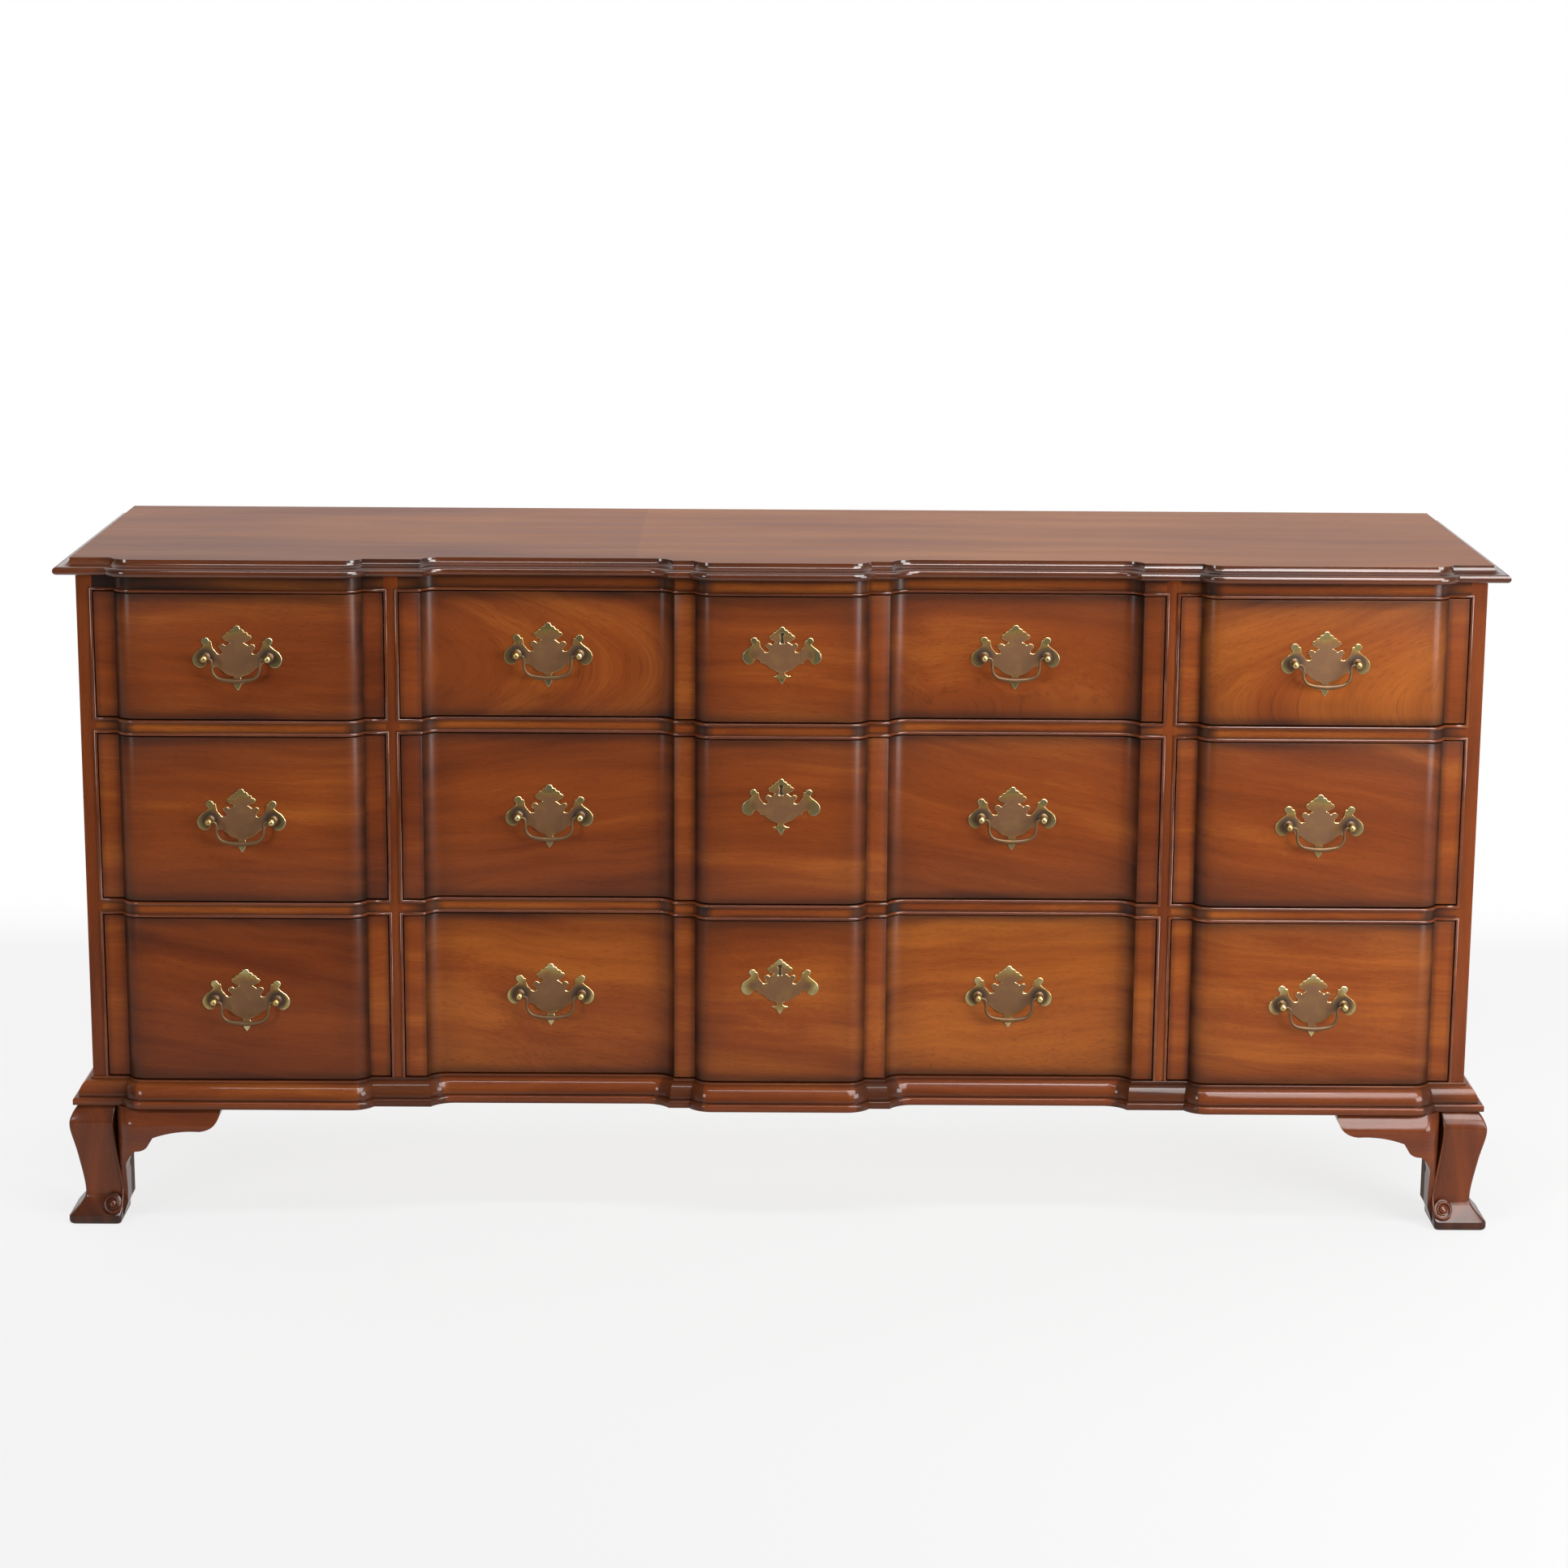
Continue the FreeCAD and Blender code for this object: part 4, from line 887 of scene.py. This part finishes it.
def wing_bracket(carving, place, depth, start, rear, shade):
    """A bracket with a sawn under edge; place turns (run, depth, height) to a point, depth gives its swell."""

    def column(run, low, high, steps):
        spots = []
        for step in range(steps + 1):
            z = low + (high - low) * step / steps
            glaze = max(shade(run, z), 0.4 * (step == 0), 0.45 * (z > LEG_TOP - 5))
            spots.append(carving.vert(place(run, depth(run, z), z), glaze, (run, z)))
        behind = [carving.vert(place(run, rear, z), 0.5, (run, z)) for z in (low, high)]
        return behind[:1] + spots + behind[1:]

    beside = [start + (POST_RUN - start) * step / 6 for step in range(7)]
    upper = [(run, POST_TOP) for run in beside[:-1]] + wing_under_edge()
    carving.tube([column(run, low, LEG_TOP, 20) for run, low in upper])
    carving.tube([column(run, max(0.0, 26 * (run - 1) / 9), POST_TOP, 12) for run in beside])


def toe_scroll(carving, sign):
    """A roll on the instep: a ridge comes down the leg's inner edge and curls round a button."""
    middle = Vector((sign * (LEG_INNER + ROLL_IN) * MM, STRIP_Y - ROLL_OUT * MM, ROLL_UP * MM))
    ridge_steps, curl_steps = 24, 36
    curl_turn, curl_wide, curl_close = 2.6 * pi, 12.4, 6.0
    points, thickness, web = [], [], []
    for share in (step / ridge_steps for step in range(ridge_steps)):
        z = RIDGE_TOP - (RIDGE_TOP - ROLL_UP) * share
        surface = at_height(LEG_LINE, z, 1)
        reach = max(surface, ROLL_OUT * max(0.0, (RIDGE_BEND - z) / (RIDGE_BEND - ROLL_UP)) ** 2)
        x = LEG_INNER + at_height(LEG_LINE, z, 2) + 1.2 + 0.4 * share
        points.append((sign * x * MM, STRIP_Y - reach * MM, z * MM))
        thickness.append((0.5 + 1.3 * share) * MM)
        # solid wood between the ridge and the leg behind it
        web.append([carving.vert((sign * (x + side), STRIP_Y / MM - depth, z), 0.3, (z, x))
                    for side, depth in ((-1.0, reach), (1.0, reach), (3.5, surface - 1.5), (-1.0, surface - 1.5))])
    carving.tube(web)
    for share in (step / curl_steps for step in range(curl_steps + 1)):
        angle = pi + curl_turn * share
        radius = (curl_wide - (curl_wide - curl_close) * share) * MM
        drop = radius * sin(angle)
        points.append((middle.x + sign * radius * cos(angle),
                       middle.y + ROLL_LEAN * drop - 0.8 * MM * min(1.0, 4 * share), middle.z + drop))
        thickness.append((1.8 - 0.6 * share) * MM)
    ridge = grown("ridge", line_mesh("ridge", points, thickness), ROD, Sides=10, Material=CARVED)
    bm = carving.bm
    roll = ((12.2, -14.0), (12.2, 0.0), (11.4, 0.6), (9.0, 0.0), (0.0, -0.6))
    button = [(5.6 * cos(a), 4.0 * sin(a) - 0.6) for a in swell(5)[:-1]] + [(0.0, 3.4)]
    for profile, sides, shade in ((roll, 28, 0.75), (button, 20, 0.45)):
        known = len(bm.verts)
        turned(bm, profile, 0.0, sides, smooth=True)
        for vert in added(bm, known):
            vert.co.y += ROLL_LEAN * vert.co.z
            vert.co += middle
        carving.stain(known, lambda vert: shade)
    known = len(bm.verts)
    ridge.data.attributes.remove(ridge.data.attributes["thickness"])
    bm.from_mesh(ridge.data)
    bpy.data.objects.remove(ridge)
    carving.stain(known, lambda vert: 0.4 if vert.co.z < 60 * MM else 0.3)


def front_foot(side, sign):
    def front_place(run, depth, z):
        return (sign * (LEG_INNER - run), STRIP_Y / MM - depth, z)

    def front_depth(run, z):
        # the root sinks into the leg, which is slimmer than the wing at its ankle
        if run < 0:
            return WING_FLAT + 0.8 * run
        bend = min(run / WING_CORNER, 1.0)
        return WING_FLAT + (at_height(SWELL_LINE, z, 1) - WING_FLAT) * sqrt(1 - (1 - bend) ** 2)

    def front_shade(run, z):
        return max(0.15, 0.85 - 0.06 * max(run + 2, 0), 0.4 - 0.01 * (z - 40) if z < 65 else 0.0)

    def side_place(run, depth, z):
        return (sign * (HALF_CASE / MM + depth), STRIP_Y / MM + LEG_BACK + run, z)

    carving = Carving()
    leg(carving, sign)
    wing_bracket(carving, front_place, front_depth, -WING_ROOT, -14.0, front_shade)
    wing_bracket(carving, side_place, lambda run, z: at_height(LEG_LINE, z, 1), 0.0, -22.0, lambda run, z: 0.12)
    toe_scroll(carving, sign)
    carving.finish(f"carved_foot_{side}", f"front_foot_{side}")


# Brasses; their tables are in millimetres

# Half of a bat-wing plate from the line of the posts: x, z, and whether the outline has a cusp there
WING = (
    (0, 41.8, 0), (3.6, 40.4, 0), (4.6, 37.6, 1), (8.2, 36.4, 0), (9.8, 33.4, 1), (13.4, 32.6, 0), (14.8, 29.6, 1),
    (18.4, 28, 0), (18.4, 24.2, 0), (14.8, 21.6, 0), (8.8, 19, 1), (12, 17.4, 0), (14.6, 15, 1), (18.8, 17.4, 0),
    (23.4, 15, 0), (22.8, 11, 0), (20.4, 8.6, 0), (19.6, 4.4, 1),
    (24.6, 4.2, 0), (27.6, 7.6, 0), (31.2, 12, 0), (32.6, 18, 1), (33.2, 21, 0), (35.6, 21.4, 1), (37.4, 24.6, 0),
    (41.4, 25.8, 0), (45.6, 23.4, 0), (45.8, 19.4, 0), (42.8, 15.6, 1), (46.6, 11.8, 0), (53.6, 6.4, 0),
    (57.4, 0.4, 0), (57.2, -6.6, 0), (53.6, -12, 0), (47.6, -14.2, 0), (42.6, -12.2, 0), (39.6, -6.8, 1),
    (35.4, -6.4, 0), (32.4, -8.6, 0), (30.5, -14, 1), (28.6, -12.4, 0), (25.6, -13.4, 0), (22.6, -15.4, 0),
    (19.6, -18, 0), (16, -21, 0), (12, -23.2, 0), (7, -24.6, 1), (4.6, -26.4, 0), (5.6, -29.6, 0),
    (13, -31.4, 1), (9, -34.4, 0), (4.8, -35.2, 1), (4, -38, 0), (0, -44, 1))
ESCUTCHEON_SCALE = 0.885
RIM = 0.7 * MM
# Round head of the keyhole: radius and height; half the width and the height of its foot
KEY_HEAD, KEY_FOOT = (2.7, 26.5), (2.6, 14.8)
# Heights of the escutcheons' middles
KEYHOLE_Z = {"lower": 331.5, "middle": 575.0, "upper": 776.0}
# Turned post: radius and distance in front of the wood
POST = ((6.8, 1.4), (6.8, 2.3), (6.0, 3.0), (4.4, 3.6), (3.3, 5.2), (3.1, 8.0), (3.3, 9.6), (4.1, 10.6),
        (4.9, 12.2), (5.2, 14.6), (5.2, 16.2), (4.7, 18.2), (3.3, 20.0), (1.5, 20.7), (0.0, 20.8))
# Radius of a bail's wire at its ends, where it starts to swell, and in the middle
BAIL_WIRE, BAIL_SWELLED, BAIL_FULL = 1.8, 2.5, 3.2
# A place stored as if beside a post, where the brass is darkest; keyholes and screw slots take it as painted shade
PAINTED_SHADE_SPOT = (POST_OUT, 0.0, 0.0)


def outline(curve, points):
    """Adds a closed outline of (x, z, cusp) points."""
    spline = curve.splines.new("BEZIER")
    spline.bezier_points.add(len(points) - 1)
    for knot, (x, z, cusp) in zip(spline.bezier_points, points):
        knot.co = (x * MM, z * MM, 0.0)
        knot.handle_left_type = knot.handle_right_type = "VECTOR" if cusp else "AUTO"
    spline.use_cyclic_u = True


def plate(keyhole):
    """A pierced sheet with rounded rims, front towards -Y, its back at y = 0."""
    curve = bpy.data.curves.new("plate", "CURVE")
    curve.dimensions = "2D"
    curve.fill_mode = "BOTH"
    curve.resolution_u = 3
    curve.bevel_depth = RIM
    curve.bevel_resolution = 1
    curve.extrude = PLATE / 2 - RIM
    curve.offset = -RIM
    scale = ESCUTCHEON_SCALE if keyhole else 1.0
    half = [(x * scale, z * scale, cusp) for x, z, cusp in WING]
    outline(curve, half + [(-x, z, cusp) for x, z, cusp in half[-2:0:-1]])
    if keyhole:
        radius, up = KEY_HEAD
        wide, low = KEY_FOOT
        head = [(radius * cos(a), up + radius * sin(a), 0)
                for a in (radians(turn) for turn in (-50, 0, 45, 90, 135, 180, 230))]
        outline(curve, head + [(-wide, low, 1), (wide, low, 1)])
    mesh = as_mesh(shown("plate", curve))
    mesh.transform(Matrix.Translation((0, -PLATE / 2, 0)) @ Matrix.Rotation(pi / 2, 4, "X"))
    return mesh


def turned(bm, profile, x, sides, smooth=False):
    """Turns a profile of (radius, forward) round an axis along Y at x."""
    rings = []
    for radius, forward in profile:
        if radius == 0:
            rings.append([bm.verts.new((x, -forward * MM, 0))] * sides)
            continue
        rings.append([bm.verts.new((x + radius * MM * cos(a), -forward * MM, radius * MM * sin(a)))
                      for a in (2 * pi * k / sides for k in range(sides))])
    skin(bm, rings, closed=True, smooth=smooth)


def fitting(name, thickness, keyhole=False):
    """A plate with its posts and, behind wood of the given thickness, their washers and nuts."""
    bm = bmesh.new()
    bm.from_mesh(plate(keyhole))
    worn = bm.verts.layers.float.new("worn")
    for vert in bm.verts:
        vert[worn] = 0.0 if vert.co.y < -PLATE + 0.1 * MM else 1.0
    inside = -thickness / MM
    shank, washer, nut, chamfer = 2.5, 6.5, 4.6, 0.4
    washer_end, nut_end, shank_end = inside - 0.8, inside - 4, inside - 6
    for x in () if keyhole else (-POST_OUT, POST_OUT):
        plain = len(bm.verts)
        turned(bm, POST, x, 20, smooth=True)
        turned(bm, ((shank, inside), (shank, shank_end), (0.0, shank_end)), x, 12)
        turned(bm, ((shank, washer_end), (washer, washer_end), (washer, inside), (shank, inside)), x, 20)
        turned(bm, ((shank, nut_end), (nut - chamfer, nut_end), (nut, nut_end + chamfer), (nut, washer_end)), x, 6)
        for vert in added(bm, plain):
            # the knobs are rubbed brighter than their stems
            vert[worn] = 0.62 if vert.co.y < -10.0 * MM else 0.3
    spot = bm.verts.layers.float_vector.new("spot")
    for vert in bm.verts:
        vert[spot] = vert.co
        if keyhole:
            vert[spot] = (vert.co.x / ESCUTCHEON_SCALE, 12.0 * MM, vert.co.z / ESCUTCHEON_SCALE)
    if keyhole:
        # painted shadow in the keyhole: a dark sheet behind the hole, stored beside a post to take the darkest
        # brass
        dark = [bm.verts.new((x * MM, -0.2 * MM, z * MM)) for x, z in ((-4, 13), (4, 13), (4, 31), (-4, 31))]
        bm.faces.new(dark)
        for vert in dark:
            vert[spot] = PAINTED_SHADE_SPOT
    return piece_of(bm, name)


def bail_line():
    """Half of a bail from its hinge line: x, z and radius of the wire."""
    neck, shoulder = 4.5, 14.0
    points = [(42.0, 0.0, BAIL_WIRE), (37.5, 0.0, BAIL_WIRE)]
    points += [(35.3 - neck * sin(a), -neck * (1 - cos(a)), BAIL_WIRE) for a in swell(6)]
    points.append((30.8, -9.0, BAIL_WIRE))
    points += [(16.8 + shoulder * cos(a), -13 - shoulder * sin(a),
                BAIL_WIRE + (BAIL_SWELLED - BAIL_WIRE) * step / 8) for step, a in enumerate(swell(8, 0.0, 76.0))]
    # a flat arc of large radius along the bottom
    radius = 83.4
    for step in range(1, 6):
        x = 20.19 * (1 - step / 5)
        points.append((x, -29.06 + radius - sqrt(radius ** 2 - x ** 2),
                       BAIL_SWELLED + (BAIL_FULL - BAIL_SWELLED) * sin(pi / 2 * step / 5)))
    return points


def bail(name, x, y, z):
    half = bail_line()
    line = half + [(-px, pz, r) for px, pz, r in half[-2::-1]]
    mesh = line_mesh(name, [(x + px * MM, y, z + pz * MM) for px, pz, r in line], [r * MM for px, pz, r in line])
    piece = grown("swelled_" + name, mesh, ROD, Sides=12, Material=BRASS)
    count = len(piece.data.vertices)
    stored = piece.data.attributes
    stored.new("worn", "FLOAT", "POINT").data.foreach_set("value", [0.2] * count)
    # painted darker, as the plate is 11 mm from a post: partly tarnish, partly painted shade on the hanging bail
    stored.new("spot", "FLOAT_VECTOR", "POINT").data.foreach_set("vector", [POST_OUT, 0, 11 * MM] * count)
    belongs(piece, name, "brass", name)


def brasses(bay, row):
    """The plates, posts and bails of one drawer, and the escutcheon of a wide one."""
    face = RECESS_Y if bay == "centre" else BLOCK_Y
    places = []
    for name in nodes:
        if name.startswith(f"bail_{bay}") and name.endswith(row):
            low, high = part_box(name)
            x, z = (low.x + high.x) / 2, high.z - BAIL_WIRE * MM
            places.append((x, face, z))
            bail(name, x, face - PLATE - HINGE_OUT, z)
    part = fitting("pull_plate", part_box(f"drawer_front_{bay}_{row}")[1].y - face)
    piece = repeated(f"plates_{bay}_{row}", part, places, BRASS)
    if bay == "centre":
        lock = fitting("escutcheon", 0.0, True)
        lock.data.transform(Matrix.Translation((0.0, BLOCK_Y, KEYHOLE_Z[row] * MM)))
        both = bmesh.new()
        for mesh in (piece.data, lock.data):
            both.from_mesh(mesh)
        bpy.data.objects.remove(lock)
        for side in both.faces:
            side.material_index = 0
        both.to_mesh(piece.data)
        both.free()
        piece.data.materials.clear()
        piece.data.materials.append(BRASS)
    belongs(piece, f"drawer_{bay}_{row}", "brass", f"brasses_{bay}_{row}")


def dovetails(bay, row):
    """Tails of the drawer sides let into the ends of a front, the front's own lap left before them."""
    deep, root, flare, spacing, proud = 13.0 * MM, 11.0 * MM, 16.5 * MM, 27.0 * MM, 0.06 * MM
    corners = [(side * proud, y, z) for side in (-1, 1)
               for y, z in ((0, -root / 2), (-deep, -flare / 2), (-deep, flare / 2), (0, root / 2))]
    sides = [(0, 1, 2, 3), (7, 6, 5, 4), (0, 4, 5, 1), (1, 5, 6, 2), (2, 6, 7, 3), (3, 7, 4, 0)]
    low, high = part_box(f"drawer_front_{bay}_{row}")
    floor, rim = (corner.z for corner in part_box(f"drawer_box_{bay}_{row}"))
    count = round((rim - floor) / spacing)
    places = [(x, high.y, floor + (rim - floor) * (k + 0.5) / count)
              for x in (low.x, high.x) for k in range(count)]
    tail = shown("tail", listed_mesh("tail", corners, faces=sides))
    belongs(repeated(f"dovetails_{bay}_{row}", tail, places, POPLAR), f"drawer_{bay}_{row}", "secondary_wood")


def back_screws():
    """Slotted round-head screws round the back panel and down the partitions."""
    low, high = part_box("back_panel")
    bm = bmesh.new()
    worn = bm.verts.layers.float.new("worn")
    spot = bm.verts.layers.float_vector.new("spot")
    dome = [(4.0 * cos(a), -2.2 * sin(a)) for a in swell(4)[:-1]]
    turned(bm, dome + [(0.0, -2.2)], 0.0, 12, smooth=True)
    for vert in bm.verts:
        vert[worn] = 0.25
    # the slot is a dark bar across the head, stored beside a post: painted shade
    for vert in bmesh.ops.create_cube(bm, size=1.0)["verts"]:
        vert.co = (vert.co.x * 6.4 * MM, (1.6 + vert.co.y * 1.1) * MM, vert.co.z * 0.9 * MM)
        vert[spot] = PAINTED_SHADE_SPOT
    screw = piece_of(bm, "screw")
    inset, in_partition = 12.0 * MM, 10.5 * MM
    spaces_along, spaces_up = 12, 5
    places = []
    for k in range(spaces_along + 1):
        x = low.x + inset + (high.x - low.x - 2 * inset) * k / spaces_along
        places += [(x, high.y, z) for z in (low.z + inset, high.z - inset)]
    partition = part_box("partitions")[1].x - in_partition
    for k in range(1, spaces_up):
        z = low.z + (high.z - low.z) * k / spaces_up
        places += [(x, high.y, z) for x in (low.x + inset, -partition, partition, high.x - inset)]
    belongs(repeated("back_screws", screw, places, BRASS), "case", "brass")


for fit in (brasses, dovetails):
    for bay, row in DRAWERS:
        fit(bay, row)
back_screws()
front_foot("left", -1)
front_foot("right", 1)


# Finishes of the other CAD pieces

FINISHES = {
    "inner_stiles": UPRIGHTS, "outer_stile_left": UPRIGHTS, "outer_stile_right": UPRIGHTS,
    "side_left": SIDES, "side_right": SIDES, "rails_left": RAILS, "rails_centre": RAILS, "rails_right": RAILS,
    "rear_foot_left": FEET, "rear_foot_right": FEET, "glue_blocks": STAINED_BLOCKS, "back_panel": BACK_PLY,
}
REPLACED = ("drawer_front", "brasses", "bail", "cock_beads", "top", "base_moulding", "front_foot")
for name in nodes:
    if not name.startswith(REPLACED):
        materials = nodes[name].data.materials
        materials.clear()
        materials.append(FINISHES.get(name, POPLAR))


# Floor, light and camera

def studio_floor():
    """Pale floor that keeps the soft shadow near the feet and goes to white all round."""
    material, tree = blank("pale_studio_floor")
    x, y, _ = put(tree, "SeparateXYZ", along(tree, "x")).outputs
    aside = put(tree, "Math ABSOLUTE", x)
    # white from this far behind, to the sides and in front
    away = 0.0
    for way, start, end in ((y, 0.2, 1.6), (aside, 1.6, 3.4), (y, -2.6, -4.4)):
        away = put(tree, "Math MAXIMUM", put(tree, "MapRange SMOOTHSTEP", way, start, end), away)
    far = put(tree, "Math MAXIMUM", away, 0.8)
    path = put(tree, "LightPath").outputs
    # the pale sheet ends in front of the view; the room's floor beyond it is dark in the lacquer
    sheet = put(tree, "MapRange", y, -1.6, -1.4)
    mirrored = put(tree, "Math MULTIPLY", path["Is Glossy Ray"], sheet)
    seen = put(tree, "Math MAXIMUM", path["Is Camera Ray"], mirrored)
    share = put(tree, "Math MULTIPLY", far, seen)
    pale = put(tree, "Math MAXIMUM", path["Is Camera Ray"], sheet)
    tint = put(tree, "Mix RGBA", {"Factor": pale, "A": grey(0.05), "B": grey(0.8)})
    lit = put(tree, "BsdfDiffuse", {"Color": tint})
    fade = put(tree, "Math MAXIMUM", put(tree, "MapRange", y, -1.3, 0.3, 0.89), away)
    white = put(tree, "Emission", {"Color": grey(1.0), "Strength": fade})
    put(tree, "OutputMaterial", put(tree, "MixShader", share, lit, white))
    reach = 40.0
    corners = [(x, y, 0.0) for x, y in ((-reach, -reach), (reach, -reach), (reach, reach), (-reach, reach))]
    mesh = listed_mesh("studio_floor", corners, faces=[(0, 1, 2, 3)])
    mesh.materials.append(material)
    shown("studio_floor", mesh)


def soft_box(name, place, aim, width, height, power, on_wood):
    """A large diffused lamp turned to a point; off the wood, it shows in the lacquer's highlights alone."""
    lamp = bpy.data.lights.new(name, "AREA")
    lamp.shape = "RECTANGLE"
    lamp.size = width
    lamp.size_y = height
    lamp.energy = power
    holder = shown(name, lamp)
    holder.location = place
    holder.rotation_euler = (Vector(aim) - Vector(place)).to_track_quat("-Z", "Y").to_euler()
    holder.visible_diffuse = on_wood


def room_light():
    """A white backdrop behind the chest, a dim room in front of it."""
    bpy.context.scene.world, tree = blank("studio", bpy.data.worlds)
    way = put(tree, "SeparateXYZ", put(tree, "TexCoord").outputs["Generated"]).outputs
    level = put(tree, "MapRange SMOOTHSTEP", way[1], -0.2, 0.5, 0.1, 1.0)
    level = put(tree, "Math MAXIMUM", level, put(tree, "LightPath").outputs["Is Camera Ray"])
    put(tree, "OutputWorld", put(tree, "Background", {"Color": grey(1.0), "Strength": level}))


# The photograph's view, fitted: about 4.5 m in front, looking 12 degrees down. Yaw, pitch and roll are in degrees
VIEW_TURN = (0.33, 12.32, 0.38)
VIEW_PLACE = (-0.0226, -4.7903, 1.600)
VIEW_LENS, VIEW_SENSOR = 82.03, 36.0


def camera():
    yaw, pitch, roll = (radians(a) for a in VIEW_TURN)
    ahead = Vector((sin(yaw) * cos(pitch), cos(yaw) * cos(pitch), -sin(pitch)))
    right = Vector((cos(yaw), -sin(yaw), 0.0))
    up = right.cross(ahead)
    side = right * cos(roll) + up * sin(roll)
    head = up * cos(roll) - right * sin(roll)
    data = bpy.data.cameras.new("view")
    data.lens, data.sensor_width = VIEW_LENS, VIEW_SENSOR
    holder = shown("view", data)
    holder.matrix_world = Matrix((side, head, -ahead)).transposed().to_4x4()
    holder.location = VIEW_PLACE
    bpy.context.scene.camera = holder


# Place, aim, width, height, power in watts, and whether the lamp lights the wood under the lacquer
LAMPS = {
    "key_right": ((2.3, -2.0, 0.95), (-0.2, -0.2, 0.5), 1.2, 1.2, 68.0, True),
    "front_right": ((1.45, -2.8, 1.7), (0.8, -0.3, 0.13), 1.2, 0.35, 10.0, True),
    "fill_left": ((-2.6, -3.2, 1.4), (-0.4, -0.2, 0.45), 0.8, 1.2, 45.0, True),
    "overhead": ((0.0, -1.6, 3.2), (0.0, 0.0, 0.5), 2.6, 0.4, 45.0, True),
    "card_right": ((1.35, -1.7, 2.5), (0.8, -0.25, 0.88), 1.6, 2.0, 140.0, False),
}
studio_floor()
room_light()
for name, lamp in LAMPS.items():
    soft_box(name, *lamp)
camera()
bpy.context.scene.view_settings.view_transform = "Standard"
